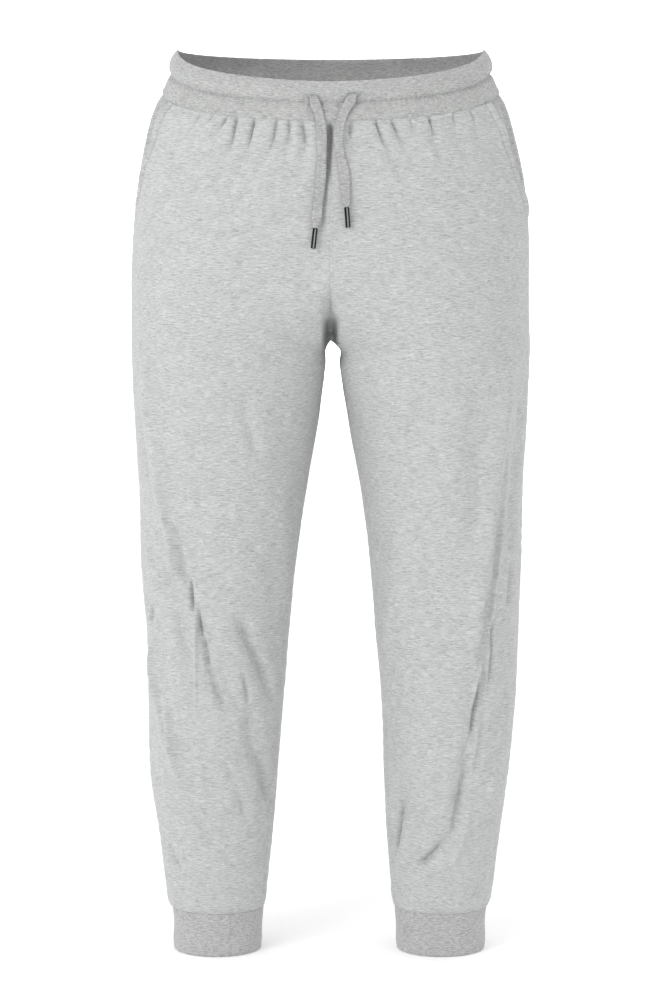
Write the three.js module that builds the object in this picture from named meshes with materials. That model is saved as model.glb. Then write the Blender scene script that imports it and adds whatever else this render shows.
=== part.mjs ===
// Jogger sweatpants in light grey marl jersey, filled out and hollow, with no wearer.
// Sizes are millimetres. +Z is up, the front faces -Y and the wearer's left leg is on +X.
// The origin is on the centre line at the waist, half-way up the waistband at the side seams.
import * as THREE from 'three';

// Cloth walls and the gap kept at every seam
const JERSEY_WALL = 2;
const BAND_WALL = 3.5;
const FACING_WALL = 1.4;
const CUFF_WALL = 3;
const SEAM_GAP = 0.3;
const HALF_GAP = SEAM_GAP / 2;

// Heights of the seams
const SIDE_WAIST_SEAM = -24;
const FRONT_SEAM_DIP = 34;
const BACK_SEAM_DIP = 5;
const CROTCH = -300;
const CUFF_SEAM = -953;
const HEM = -1003;

// The waistband: its height at the side, and how much less it stands at the front and back
const BAND_HEIGHT = 48;
const FRONT_BAND_LOSS = 6;
const BACK_BAND_LOSS = 0.5;
const BAND_COLUMNS = 24;

// Side seams and inseams, as angles round the leg from its outermost line towards the front
const SIDE_SEAM = { left: 7, right: 4 };
const INSEAM_AT_CROTCH = 180;
const INSEAM_BELOW = 160;
const INSEAM_TURN = 150;

// Slanted pocket openings: the angle of the upper end, and the height of the lower end
const POCKET_TOP = { left: 27, right: 24 };
const POCKET_FOOT = { left: -166, right: -152 };
const POCKET_CURVE = 0.8;
const FACING_LAP = 5;
const FACING_STEP = 6;
const FACING_DEPTH = JERSEY_WALL + 0.9;
const FACING_COLUMNS = 7;
const FACING_TAIL = 10;

// Between the legs the front cloth is drawn straight across from one to the other, fully
// above this height and less and less down to the crotch.
const BRIDGE_TOP = -220;

// The pinched hollow along the centre seams just above the crotch, sharper in front
const CLEFT = {
  front: { top: -230, full: -268, fade: 26, share: 0.5, width: 7.5, power: 2 },
  back: { top: -205, full: -270, fade: 30, share: 0.36, width: 9, power: 1 },
};

// Mesh rows of a panel: drops below the waist seam through the gathers, the number of rows
// down to the crotch and down the leg, and heights above the cuff seam where the leg tucks in
const GATHER_DROPS = [0, 5, 13, 26, 46];
const RISE_ROWS = 8;
const LEG_ROWS = 20;
const FIRST_LEG_DROP = 11;
const TUCK_ROWS = [12, 6, 0];
const TUCK_ROOM = 20;
const PANEL_COLUMNS = 16;

// One more column of a front panel, at the rim of the pinched hollow, as a share of the way
// to the inner edge
const RIM_COLUMN = 0.965;

// Over this depth near the crotch the rows lie closer at the inner edge than at the side.
const CROTCH_LAG = 60;

// A gather's shoulders, in half widths from its trough
const SHOULDER = 1.4;

// The share of a fold's length over which each end dies away
const FOLD_END = 0.3;

// The cloth lies smooth within about this distance of the centre plane.
const CALM_WIDTH = 8;

// Steps in degrees and in height between the neighbours that give the outward direction
const TURN_STEP = 0.5;
const HEIGHT_STEP = 0.6;

const MARL = '#c4c6c6';
const MARL_TRIM = '#bcbdbd';
const MARL_CUFF = '#b4b5b5';
const CORD_GREY = '#b3b3b4';
const AGLET_METAL = '#b8b9bb';

// Turns rows of numbers into objects with the named columns.
function table(columns, rows) {
  return rows.map((row) => Object.fromEntries(columns.map((name, i) => [name, row[i]])));
}

// Each section: how far the outer and inner edge of each leg lie from the centre plane,
// and how deep the leg or body is in front of and behind the side line. An inner edge below
// zero is past the centre plane, where the two legs have joined.
const SECTIONS = table(
  ['height', 'outRight', 'inRight', 'outLeft', 'inLeft', 'front', 'back'],
  [
    [30, 183, -183, 183, -183, 119, 116],
    [-24, 188.5, -188.5, 189, -189, 120, 118],
    [-58, 200.5, -200.5, 200.5, -200.5, 122, 123],
    [-80, 206.5, -197, 207, -197, 124, 127],
    [-104, 212, -176, 213.5, -176, 126, 132],
    [-131, 217, -145, 218.5, -145, 128, 137],
    [-180, 222, -92, 223, -92, 130, 143],
    [-220, 224, -52, 223.8, -52, 129, 145],
    [-255, 224.5, -24, 224, -24, 126, 142],
    [-280, 224.7, -9, 224.4, -9, 122, 137],
    [-300, 225, 0.15, 225.5, 0.15, 119, 132],
    [-305, 225, 3.8, 225.6, 7.2, 118, 131],
    [-326, 225, 5.8, 224.8, 10, 115, 127],
    [-387, 222.4, 13.3, 222.8, 19.6, 107, 116],
    [-470, 218, 28, 218.4, 34.5, 97, 103],
    [-552, 216.5, 39.7, 217.3, 44.9, 89, 92],
    [-635, 210.5, 48, 214.8, 51.5, 83, 82],
    [-719, 209.3, 54.9, 211.4, 58.6, 74, 80],
    [-803, 207, 61.5, 203.6, 61.4, 66, 77],
    [-867, 198, 67, 194.8, 64.5, 57, 67],
    [-931, 190.6, 73.8, 187, 69.8, 50, 58],
    [-945, 188.8, 75, 185, 71, 48.5, 56.5],
    [-953, 185.2, 77, 181.8, 73, 46.5, 54.5],
    [-1003, 182.4, 80.5, 178.8, 76, 44, 51],
  ],
);

// Folds in the legs and body. Angles are degrees round the leg from its outermost line,
// above zero towards the front; rise is outward, so a trough is below zero; bow bends the
// line sideways, and skew makes one flank steeper than the other.
const FOLDS = table(
  ['side', 'angle1', 'height1', 'angle2', 'height2', 'bow', 'width', 'rise', 'skew'],
  [
    ['right', 28, -300, 66, -610, 0, 13, 6, 0.2],
    ['right', 50, -455, 76, -700, 10, 10, -6, 0.2],
    ['right', 76, -585, 106, -705, 4, 9, -4.5, 0],
    ['right', 104, -592, 158, -716, 4, 10, -5, 0.2],
    ['right', 116, -690, 164, -850, 6, 11, -4.5, 0],
    ['right', 20, -622, 66, -815, 0, 12, 5, 0.2],
    ['right', 4, -588, 36, -614, 0, 9, -4, 0],
    ['right', 12, -858, 54, -908, 0, 9, -3.5, 0],
    ['right', 130, -440, 168, -640, 0, 16, 3, 0],
    ['right', -20, -380, -46, -640, -6, 14, 5, 0.2],
    ['right', -52, -480, -84, -700, 6, 10, -5, 0],
    ['right', -84, -560, -140, -690, 0, 11, -5, 0],
    ['right', -40, -640, -70, -820, 0, 11, 4, 0],
    ['right', -100, -720, -150, -880, 0, 11, -4.5, 0],
    ['right', -96, -255, -150, -380, 8, 15, -5, 0],
    ['left', 33, -285, 72, -700, -8, 12, 6.5, -0.3],
    ['left', 22, -320, 38, -570, 0, 11, -4, 0],
    ['left', 69, -330, 70, -555, 0, 11, -2.5, 0],
    ['left', 60, -650, 87, -885, 0, 10, -4.5, 0],
    ['left', 46, -775, 58, -855, 0, 10, 3.5, 0],
    ['left', 82, -858, 126, -904, 0, 8, -4, 0],
    ['left', 130, -795, 162, -908, 0, 9, -4.5, 0],
    ['left', 120, -470, 160, -690, 0, 16, 3, 0],
    ['left', -24, -360, -40, -610, 0, 13, 4.5, 0],
    ['left', -60, -500, -86, -715, 4, 10, -5, 0],
    ['left', -94, -545, -146, -668, 0, 11, -4.5, 0],
    ['left', -30, -650, -66, -840, 0, 11, 4, 0],
    ['left', -108, -700, -152, -862, 0, 11, -4, 0],
    ['left', -98, -260, -150, -370, 8, 15, -5, 0],
  ],
);

// Gathers let into the waist seam: the trough's angle at the seam and at its foot, its
// length down the cloth, its half width and its depth.
const GATHERS = table(
  ['side', 'face', 'top', 'foot', 'length', 'width', 'depth'],
  [
    ['right', 'front', 44, 43, 30, 4, 1.4],
    ['right', 'front', 55.5, 52, 34, 4, 2.4],
    ['right', 'front', 59, 60.5, 60, 4, 2.8],
    ['right', 'front', 65.5, 66.5, 70, 4, 2.6],
    ['right', 'front', 73.2, 74, 58, 4, 2.6],
    ['right', 'front', 77, 80, 44, 4, 2.4],
    ['right', 'front', 81, 87.4, 52, 4.5, 3.6],
    ['right', 'back', -18, -19, 34, 4, 1.8],
    ['right', 'back', -29, -30, 52, 4, 2.4],
    ['right', 'back', -38, -37, 40, 4, 2.2],
    ['right', 'back', -47, -48, 62, 4, 2.8],
    ['right', 'back', -54, -54, 30, 4, 1.8],
    ['right', 'back', -62, -63, 56, 4, 2.6],
    ['right', 'back', -71, -71, 44, 4, 2.4],
    ['right', 'back', -80, -81, 60, 4, 2.6],
    ['left', 'front', 38, 39, 34, 4, 1.8],
    ['left', 'front', 47, 49, 30, 4, 1.4],
    ['left', 'front', 57, 57.5, 36, 4, 2.8],
    ['left', 'front', 64, 64.5, 28, 4, 1.6],
    ['left', 'front', 70.6, 68.4, 40, 4, 2.8],
    ['left', 'front', 75.8, 73.8, 62, 4, 2.6],
    ['left', 'front', 83.4, 86.8, 36, 4, 3.4],
    ['left', 'back', -20, -20, 44, 4, 2.2],
    ['left', 'back', -31, -30, 36, 4, 2],
    ['left', 'back', -41, -42, 60, 4, 2.8],
    ['left', 'back', -49, -49, 34, 4, 2],
    ['left', 'back', -57, -58, 54, 4, 2.6],
    ['left', 'back', -67, -67, 42, 4, 2.4],
    ['left', 'back', -75, -76, 58, 4, 2.6],
    ['left', 'back', -83, -83, 34, 4, 2],
  ],
);

// Between the gathers the cloth stands proud, most at PUFF.peak below the seam.
const PUFF = { rise: 1.8, peak: 14, reach: 95 };

// Where the free edge of a pocket opening stands away from its facing
const GAPES = table(
  ['side', 'height', 'reach', 'rise'],
  [
    ['left', -66, 20, 2.4],
    ['left', -108, 14, 1.4],
    ['left', -142, 18, 2.6],
    ['right', -60, 18, 1.6],
    ['right', -112, 22, 1.2],
  ],
);
const GAPE_WIDTH = 12;

// The waistband's profile up from the waist seam: share of its height, how far the outer
// face has leaned in, and how thick the band is there. The dip is the channel stitching.
const BAND_PROFILE = table(
  ['share', 'lean', 'wall'],
  [
    [0, 0, BAND_WALL],
    [0.18, 4.2, BAND_WALL],
    [0.4, 8.2, BAND_WALL],
    [0.47, 9.4, 2.6],
    [0.54, 8.4, BAND_WALL],
    [0.72, 9.2, BAND_WALL],
    [0.88, 12.4, 3.2],
    [1, 15.6, 2.4],
  ],
);
const BAND_LEAN_AT_CENTRE = 0.55;

// The cuffs: share of the height below the cuff seam, and how far in the two faces lie
const CUFF_PROFILE = table(
  ['share', 'outerInset', 'innerInset'],
  [
    [0, 0.6, CUFF_WALL],
    [0.12, 0.2, CUFF_WALL],
    [0.5, 0, CUFF_WALL],
    [0.92, 0, CUFF_WALL],
    [1, 1, CUFF_WALL - 1],
  ],
);
const CUFF_COLUMNS = 28;

// Flat drawstring ends: centre lines from the slit in the band down to the metal tip
const CORD_WIDTH = 10.5;
const CORD_THICKNESS = 3;
const CORD_SIDES = 10;
const CORD_STEPS = 14;
const CORD_ROUTES = {
  right: [
    [-18.7, -117.5, -32],
    [-18.5, -119.1, -32.5],
    [-17.6, -120, -35.2],
    [-16.2, -120.3, -39.5],
    [-12.6, -122.2, -49],
    [-10, -125.4, -62],
    [-9.2, -127.8, -78],
    [-9.2, -129.4, -96],
    [-10.2, -130.8, -117],
    [-12.2, -132, -138],
    [-14.4, -133.2, -156],
    [-16.2, -134.2, -172],
  ],
  left: [
    [24.3, -117.2, -30],
    [24.1, -118.8, -30.5],
    [23, -119.6, -33.2],
    [20.6, -119.9, -38],
    [15.4, -121.5, -47],
    [10.8, -124.9, -60],
    [9, -127.1, -74],
    [10.2, -128.8, -90],
    [13.8, -130.4, -107],
    [15.8, -131.6, -122],
    [16.4, -132.6, -136],
    [17.4, -133.8, -149.5],
  ],
};
const AGLET_LENGTH = 22;
const AGLET_RADIUS = 2.9;
const AGLET_ROUND = 0.9;
const AGLET_SIDES = 12;

const SIDES = ['left', 'right'];
const DEGREE = Math.PI / 180;

function clamp01(value) {
  return Math.min(1, Math.max(0, value));
}

function smoothstep(value) {
  const t = clamp01(value);
  return t * t * (3 - 2 * t);
}

function lerp(a, b, t) {
  return a + (b - a) * t;
}

// A smooth curve through one column of the sections, from the highest down.
function sectionValue(column, height) {
  const last = SECTIONS.length - 1;
  const z = Math.min(SECTIONS[0].height, Math.max(SECTIONS[last].height, height));
  let k = 0;
  while (k < last - 1 && z < SECTIONS[k + 1].height) k += 1;
  const slopeAt = (i) => {
    const chord = (j) =>
      (SECTIONS[j + 1][column] - SECTIONS[j][column]) /
      (SECTIONS[j + 1].height - SECTIONS[j].height);
    if (i === 0) return chord(0);
    if (i === last) return chord(last - 1);
    const before = SECTIONS[i - 1].height - SECTIONS[i].height;
    const after = SECTIONS[i].height - SECTIONS[i + 1].height;
    return (chord(i - 1) * after + chord(i) * before) / (before + after);
  };
  const step = SECTIONS[k + 1].height - SECTIONS[k].height;
  const t = (z - SECTIONS[k].height) / step;
  const t2 = t * t;
  const t3 = t2 * t;
  return (
    SECTIONS[k][column] * (2 * t3 - 3 * t2 + 1) +
    slopeAt(k) * step * (t3 - 2 * t2 + t) +
    SECTIONS[k + 1][column] * (3 * t2 - 2 * t3) +
    slopeAt(k + 1) * step * (t3 - t2)
  );
}

// The ellipse of one leg, or of one half of the body, at a height.
function ringAt(side, height) {
  const name = side === 'left' ? 'Left' : 'Right';
  const outer = sectionValue(`out${name}`, height);
  const inner = sectionValue(`in${name}`, height);
  return {
    centre: (outer + inner) / 2,
    reach: (outer - inner) / 2,
    front: sectionValue('front', height),
    back: sectionValue('back', height),
  };
}

// How far one degree goes round the ring, in millimetres.
function degreeLength(ring, angle) {
  const depth = Math.sin(angle * DEGREE) > 0 ? ring.front : ring.back;
  const sideways = ring.reach * Math.sin(angle * DEGREE);
  return Math.hypot(sideways, depth * Math.cos(angle * DEGREE)) * DEGREE;
}

// The angle where the half body meets the centre plane, or the inseam below the crotch.
function innerAngle(side, height, face) {
  const ring = ringAt(side, height);
  const turn = (INSEAM_AT_CROTCH - INSEAM_BELOW) * smoothstep((CROTCH - height) / INSEAM_TURN);
  const inseam = face === 'front' ? INSEAM_AT_CROTCH - turn : INSEAM_AT_CROTCH + turn;
  const atPlane = Math.acos(Math.max(-1, (HALF_GAP - ring.centre) / ring.reach)) / DEGREE;
  const atInseam = inseam - HALF_GAP / degreeLength(ring, inseam);
  return height > CROTCH ? Math.min(atPlane, atInseam) : atInseam;
}

// A point of the smooth, unfolded cloth on the wearer's left; the right leg is turned over later.
function smoothPoint(side, angle, height) {
  const ring = ringAt(side, height);
  const across = Math.cos(angle * DEGREE);
  const out = Math.sin(angle * DEGREE);
  const x = ring.centre + ring.reach * across;
  const inFront = out > 0;
  const depth = inFront ? ring.front : ring.back;
  const cleft = inFront ? CLEFT.front : CLEFT.back;
  const bridged = inFront && across < 0;
  const bridge = bridged ? smoothstep((height - CROTCH) / (BRIDGE_TOP - CROTCH)) : 0;
  const fullness = Math.sign(out) * lerp(Math.abs(out), 1, bridge);
  const pinch =
    cleft.share *
    smoothstep((cleft.top - height) / (cleft.top - cleft.full)) *
    (1 - smoothstep((CROTCH - height) / cleft.fade)) *
    Math.exp(-((Math.abs(x) / cleft.width) ** cleft.power));
  return new THREE.Vector3(x, -depth * fullness * (1 - pinch), height);
}

// The outward direction of the smooth cloth, from its neighbours round and down.
function outward(side, angle, height) {
  const ahead = smoothPoint(side, angle + TURN_STEP, height);
  const above = smoothPoint(side, angle, height + HEIGHT_STEP);
  const around = ahead.sub(smoothPoint(side, angle - TURN_STEP, height));
  const up = above.sub(smoothPoint(side, angle, height - HEIGHT_STEP));
  return up.cross(around).normalize();
}

// How far an angle lies from the side seam towards the inner edge, from 0 to 1.
function shareFromSide(side, angle, endAngle) {
  return clamp01((angle - SIDE_SEAM[side]) / (endAngle - SIDE_SEAM[side]));
}

// The height of the waist seam, which dips from the side seam to the centre front and back.
function waistSeam(side, angle) {
  const front = angle > SIDE_SEAM[side];
  const share = shareFromSide(side, angle, front ? 90 : -90);
  return SIDE_WAIST_SEAM - (front ? FRONT_SEAM_DIP : BACK_SEAM_DIP) * Math.sin((share * Math.PI) / 2);
}

function pocketAngle(side, height) {
  const along = clamp01((height - POCKET_FOOT[side]) / (SIDE_WAIST_SEAM - POCKET_FOOT[side]));
  return SIDE_SEAM[side] + (POCKET_TOP[side] - SIDE_SEAM[side]) * along ** POCKET_CURVE;
}

// The outward rise of one fold at a point: flat along its middle, soft at its ends.
function foldRise(fold, angle, height) {
  const middle = ringAt(fold.side, (fold.height1 + fold.height2) / 2);
  const scale = degreeLength(middle, (fold.angle1 + fold.angle2) / 2);
  const turn = ((((angle - fold.angle1 + 180) % 360) + 360) % 360) - 180;
  const runX = (fold.angle2 - fold.angle1) * scale;
  const runZ = fold.height2 - fold.height1;
  const length = Math.hypot(runX, runZ);
  const atX = turn * scale;
  const atZ = height - fold.height1;
  const t = (atX * runX + atZ * runZ) / (length * length);
  if (t <= 0 || t >= 1) return 0;
  const across = (atX * runZ - atZ * runX) / length - fold.bow * 4 * t * (1 - t);
  const width = fold.width * (across > 0 ? 1 + fold.skew : 1 - fold.skew);
  const ends = smoothstep(t / FOLD_END) * smoothstep((1 - t) / FOLD_END);
  return fold.rise * ends * Math.exp(-((across / width) ** 2));
}

// The angle of a gather's trough at some drop below the waist seam.
function gatherAngle(gather, drop) {
  return lerp(gather.top, gather.foot, clamp01(drop / gather.length));
}

function gatherRise(gather, angle, drop, ring) {
  const across = (angle - gatherAngle(gather, drop)) * degreeLength(ring, gather.top);
  const fade = 1 - smoothstep(drop / gather.length);
  return -gather.depth * fade * Math.exp(-((across / gather.width) ** 2));
}

// All that lifts the cloth off its smooth shape at a point.
function cloth(side, face, angle, height, drop) {
  const ring = ringAt(side, height);
  const x = smoothPoint(side, angle, height).x;
  let rise = 0;
  for (const fold of FOLDS) {
    if (fold.side === side) rise += foldRise(fold, angle, height);
  }
  const growing = smoothstep(drop / PUFF.peak);
  const swell = growing * (1 - smoothstep((drop - PUFF.peak) / PUFF.reach));
  rise += PUFF.rise * swell;
  for (const gather of GATHERS) {
    if (gather.side === side && gather.face === face) rise += gatherRise(gather, angle, drop, ring);
  }
  return rise * (1 - Math.exp(-((x / CALM_WIDTH) ** 2)));
}

// The extra lift of a front panel's free edge along its pocket opening.
function pocketGape(side, angle, height) {
  if (height < POCKET_FOOT[side]) return 0;
  const ring = ringAt(side, height);
  const away = (angle - pocketAngle(side, height)) * degreeLength(ring, angle);
  let rise = 0;
  for (const gape of GAPES) {
    if (gape.side === side) rise += gape.rise * Math.exp(-(((height - gape.height) / gape.reach) ** 2));
  }
  return rise * Math.exp(-away / GAPE_WIDTH);
}

// Rows of a panel, from the waist seam down. Each row gives its height at the side seam
// and at the inner edge, close together at the inner edge near the crotch.
function panelRows(face) {
  const centreSeam = SIDE_WAIST_SEAM - (face === 'front' ? FRONT_SEAM_DIP : BACK_SEAM_DIP);
  const rows = GATHER_DROPS.map((drop) => ({
    gathered: true,
    drop,
    atSide: SIDE_WAIST_SEAM - drop,
    atInner: centreSeam - drop,
    bend: 0,
  }));
  const lastDrop = GATHER_DROPS[GATHER_DROPS.length - 1];
  const lagged = (distance) => distance - CROTCH_LAG * (1 - Math.exp(-distance / CROTCH_LAG));
  const riseAtSide = SIDE_WAIST_SEAM - lastDrop - CROTCH;
  const riseAtInner = centreSeam - lastDrop - CROTCH;
  for (let i = 1; i <= RISE_ROWS; i += 1) {
    const left = riseAtSide * (1 - i / RISE_ROWS);
    rows.push({
      atSide: CROTCH + left,
      atInner: CROTCH + (lagged(left) * riseAtInner) / lagged(riseAtSide),
      bend: i / RISE_ROWS,
    });
  }
  const legLength = CROTCH - CUFF_SEAM - HALF_GAP;
  for (let i = 0; i <= LEG_ROWS; i += 1) {
    const down = i === 0 ? FIRST_LEG_DROP : ((legLength - TUCK_ROOM) * i) / LEG_ROWS;
    rows.push({
      atSide: CROTCH - down,
      atInner: CROTCH - (lagged(down) * legLength) / lagged(legLength),
      bend: 1,
    });
  }
  for (const up of TUCK_ROWS) {
    rows.push({ atSide: CROTCH - legLength + up, atInner: CROTCH - legLength + up, bend: 1 });
  }
  return rows;
}

// The height of a row at an angle. A gathered row runs along below the waist seam; the
// others bend less and less down to the level of the crotch.
function rowHeight(side, row, angle, endAngle) {
  if (row.gathered) return waistSeam(side, angle) - Math.max(row.drop, HALF_GAP);
  const share = shareFromSide(side, angle, endAngle);
  const bent = lerp(Math.sin((share * Math.PI) / 2), share * share, row.bend);
  return lerp(row.atSide, row.atInner, bent);
}

// The shares along a gathered row: each gather's two shoulders and trough, and a point
// half-way to the next gather.
function gatheredShares(side, face, row, start, end) {
  const sign = face === 'front' ? 1 : -1;
  const ring = ringAt(side, SIDE_WAIST_SEAM);
  const shareAt = (angle) => (angle - start) / (end - start);
  const shares = [0];
  for (const gather of GATHERS.filter((g) => g.side === side && g.face === face)) {
    const shoulder = (sign * SHOULDER * gather.width) / degreeLength(ring, gather.top);
    const trough = gatherAngle(gather, row.drop);
    const near = shareAt(trough - shoulder);
    shares.push((shares[shares.length - 1] + near) / 2, near, shareAt(trough), shareAt(trough + shoulder));
  }
  shares.push((shares[shares.length - 1] + 1) / 2, 1);
  return shares;
}

// A wall through rows of outer points and inner points. Neighbouring rows may hold different
// numbers of points; each next triangle takes the row that is less far along.
function wallGeometry(rows, closed, flipped) {
  const positions = [];
  const starts = [];
  let count = 0;
  for (const row of rows) {
    starts.push(count);
    count += row.length;
  }
  for (const key of ['outer', 'inner']) {
    for (const row of rows) {
      for (const point of row) positions.push(point[key].x, point[key].y, point[key].z);
    }
  }
  const faces = [];
  for (let r = 0; r + 1 < rows.length; r += 1) {
    const upper = rows[r];
    const lower = rows[r + 1];
    const spanU = closed ? upper.length : upper.length - 1;
    const spanL = closed ? lower.length : lower.length - 1;
    const u = (i) => starts[r] + (i % upper.length);
    const l = (j) => starts[r + 1] + (j % lower.length);
    let i = 0;
    let j = 0;
    const nextU = () => (i + 1 < upper.length ? upper[i + 1].share : 1);
    const nextL = () => (j + 1 < lower.length ? lower[j + 1].share : 1);
    while (i < spanU || j < spanL) {
      if (j >= spanL || (i < spanU && nextU() <= nextL())) {
        faces.push([u(i), u(i + 1), l(j)]);
        i += 1;
      } else {
        faces.push([u(i), l(j + 1), l(j)]);
        j += 1;
      }
    }
  }
  const edges = new Map();
  for (const [a, b, c] of faces) {
    for (const [from, to] of [[a, b], [b, c], [c, a]]) {
      const back = `${to},${from}`;
      if (edges.has(back)) edges.delete(back);
      else edges.set(`${from},${to}`, [from, to]);
    }
  }
  const index = [];
  const addFace = (a, b, c) => (flipped ? index.push(a, c, b) : index.push(a, b, c));
  for (const [a, b, c] of faces) {
    addFace(a, b, c);
    addFace(a + count, c + count, b + count);
  }
  for (const [from, to] of edges.values()) {
    addFace(to, from, from + count);
    addFace(to, from + count, to + count);
  }
  const geometry = new THREE.BufferGeometry();
  geometry.setAttribute('position', new THREE.Float32BufferAttribute(positions, 3));
  geometry.setIndex(index);
  geometry.computeVertexNormals();
  return geometry;
}

function onSide(side, point) {
  if (side === 'right') point.x = -point.x;
  return point;
}

// One point of a wall: its outer and inner place, a wall's thickness apart along the normal.
function wallPoint(side, angle, height, rise, wall, share) {
  const base = smoothPoint(side, angle, height);
  const normal = outward(side, angle, height);
  const outer = base.clone().addScaledVector(normal, rise);
  const inner = base.clone().addScaledVector(normal, rise - wall);
  outer.x = Math.max(outer.x, HALF_GAP);
  inner.x = Math.max(inner.x, HALF_GAP);
  return { outer: onSide(side, outer), inner: onSide(side, inner), share };
}

// The angle where a panel starts: just past the side seam, or at the edge of the pocket opening.
function startAngle(side, face, height) {
  const away = HALF_GAP / degreeLength(ringAt(side, height), SIDE_SEAM[side]);
  if (face === 'back') return SIDE_SEAM[side] - away;
  if (height <= POCKET_FOOT[side]) return SIDE_SEAM[side] + away;
  return Math.max(SIDE_SEAM[side] + away, pocketAngle(side, height));
}

// One point of a panel: its row and share give its angle and height, and so its place.
function panelPoint(side, face, row, share) {
  const sign = face === 'front' ? 1 : -1;
  const rowEnd = sign * innerAngle(side, row.atInner, face);
  const rowStart = startAngle(side, face, rowHeight(side, row, startAngle(side, face, row.atSide), rowEnd));
  const height = rowHeight(side, row, lerp(rowStart, rowEnd, share), rowEnd);
  const angle = row.gathered
    ? lerp(rowStart, rowEnd, share)
    : lerp(startAngle(side, face, height), sign * innerAngle(side, height, face), share);
  const rise = cloth(side, face, angle, height, waistSeam(side, angle) - height);
  const gape = face === 'front' ? pocketGape(side, angle, height) : 0;
  return wallPoint(side, angle, height, rise + gape, JERSEY_WALL, share);
}

// A front or back panel, from the waist seam to the cuff seam.
function panelGeometry(side, face) {
  const sign = face === 'front' ? 1 : -1;
  const even = Array.from({ length: PANEL_COLUMNS }, (_, i) => i / PANEL_COLUMNS);
  const columns = face === 'front' ? [...even, RIM_COLUMN, 1] : [...even, 1];
  const rows = panelRows(face).map((row) => {
    const start = startAngle(side, face, row.atSide);
    const end = sign * innerAngle(side, row.atInner, face);
    const shares = row.gathered ? gatheredShares(side, face, row, start, end) : columns;
    return shares.map((share) => panelPoint(side, face, row, share));
  });
  return wallGeometry(rows, false, (face === 'front') === (side === 'right'));
}

// The facing inside a pocket opening: level with the back panel at the side seam, and
// stepping down to pass under the front panel's free edge.
function facingGeometry(side) {
  const rows = panelRows('front').filter((row) => row.atSide > POCKET_FOOT[side] - FACING_TAIL);
  const shares = Array.from({ length: FACING_COLUMNS + 1 }, (_, i) => i / FACING_COLUMNS);
  const walls = rows.map((row) => {
    const rowEnd = innerAngle(side, row.atInner, 'front');
    const start = SIDE_SEAM[side] + HALF_GAP / degreeLength(ringAt(side, row.atSide), SIDE_SEAM[side]);
    return shares.map((share) => {
      const angle = lerp(start, pocketAngle(side, row.atSide) + FACING_LAP, share);
      const height = rowHeight(side, row, angle, rowEnd);
      const edge = pocketAngle(side, height);
      const under = FACING_DEPTH * smoothstep((angle - edge + FACING_STEP) / FACING_STEP);
      const rise = cloth(side, 'front', angle, height, waistSeam(side, angle) - height) - under;
      return wallPoint(side, angle, height, rise, FACING_WALL, share);
    });
  });
  return wallGeometry(walls, false, side === 'right');
}

// Half of the elastic waistband, from centre front round the side to centre back.
function bandGeometry(side) {
  const rows = [...BAND_PROFILE].reverse().map((step) => {
    const points = [];
    for (let i = 0; i <= BAND_COLUMNS; i += 1) {
      const share = i / BAND_COLUMNS;
      const atSeam = SIDE_SEAM[side];
      const turn = share < 0.5 ? lerp(90, atSeam, share * 2) : lerp(atSeam, -90, share * 2 - 1);
      const towards = Math.abs(turn) / 90;
      const seam = waistSeam(side, turn);
      const loss = turn > 0 ? FRONT_BAND_LOSS : BACK_BAND_LOSS;
      const tall = BAND_HEIGHT - loss * towards;
      const seamPoint = smoothPoint(side, turn, seam);
      const flat = outward(side, turn, seam).setZ(0).normalize();
      const lean = step.lean * lerp(1, BAND_LEAN_AT_CENTRE, towards * towards);
      const height = seam + (step.share === 0 ? HALF_GAP : tall * step.share);
      const outer = seamPoint.clone().addScaledVector(flat, -lean).setZ(height);
      const inner = seamPoint.clone().addScaledVector(flat, -lean - step.wall).setZ(height);
      outer.x = Math.max(outer.x, HALF_GAP);
      inner.x = Math.max(inner.x, HALF_GAP);
      points.push({ outer: onSide(side, outer), inner: onSide(side, inner), share });
    }
    return points;
  });
  return wallGeometry(rows, false, side === 'left');
}

// A cuff: one closed tube from the cuff seam to the hem.
function cuffGeometry(side) {
  const rows = CUFF_PROFILE.map((step) => {
    const points = [];
    for (let i = 0; i < CUFF_COLUMNS; i += 1) {
      const share = i / CUFF_COLUMNS;
      const angle = share * 360 - 180;
      const height = lerp(CUFF_SEAM - HALF_GAP, HEM, step.share);
      const base = smoothPoint(side, angle, height);
      const normal = outward(side, angle, height).setZ(0).normalize();
      const outer = base.clone().addScaledVector(normal, -step.outerInset);
      const inner = base.clone().addScaledVector(normal, -step.innerInset);
      points.push({ outer: onSide(side, outer), inner: onSide(side, inner), share });
    }
    return points;
  });
  return wallGeometry(rows, true, side === 'right');
}

function route(points) {
  const curve = new THREE.CatmullRomCurve3(points.map((p) => new THREE.Vector3(...p)));
  curve.curveType = 'centripetal';
  return curve;
}

// A flat drawstring end: a flattened round section along its route.
function cordGeometry(side) {
  const section = new THREE.Shape();
  for (let i = 0; i < CORD_SIDES; i += 1) {
    const angle = ((i + 0.5) * 2 * Math.PI) / CORD_SIDES;
    const x = (CORD_WIDTH / 2) * Math.cos(angle);
    const y = (CORD_THICKNESS / 2) * Math.sin(angle);
    if (i === 0) section.moveTo(x, y);
    else section.lineTo(x, y);
  }
  section.closePath();
  return new THREE.ExtrudeGeometry(section, {
    steps: CORD_STEPS,
    extrudePath: route(CORD_ROUTES[side]),
    bevelEnabled: false,
  });
}

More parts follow.
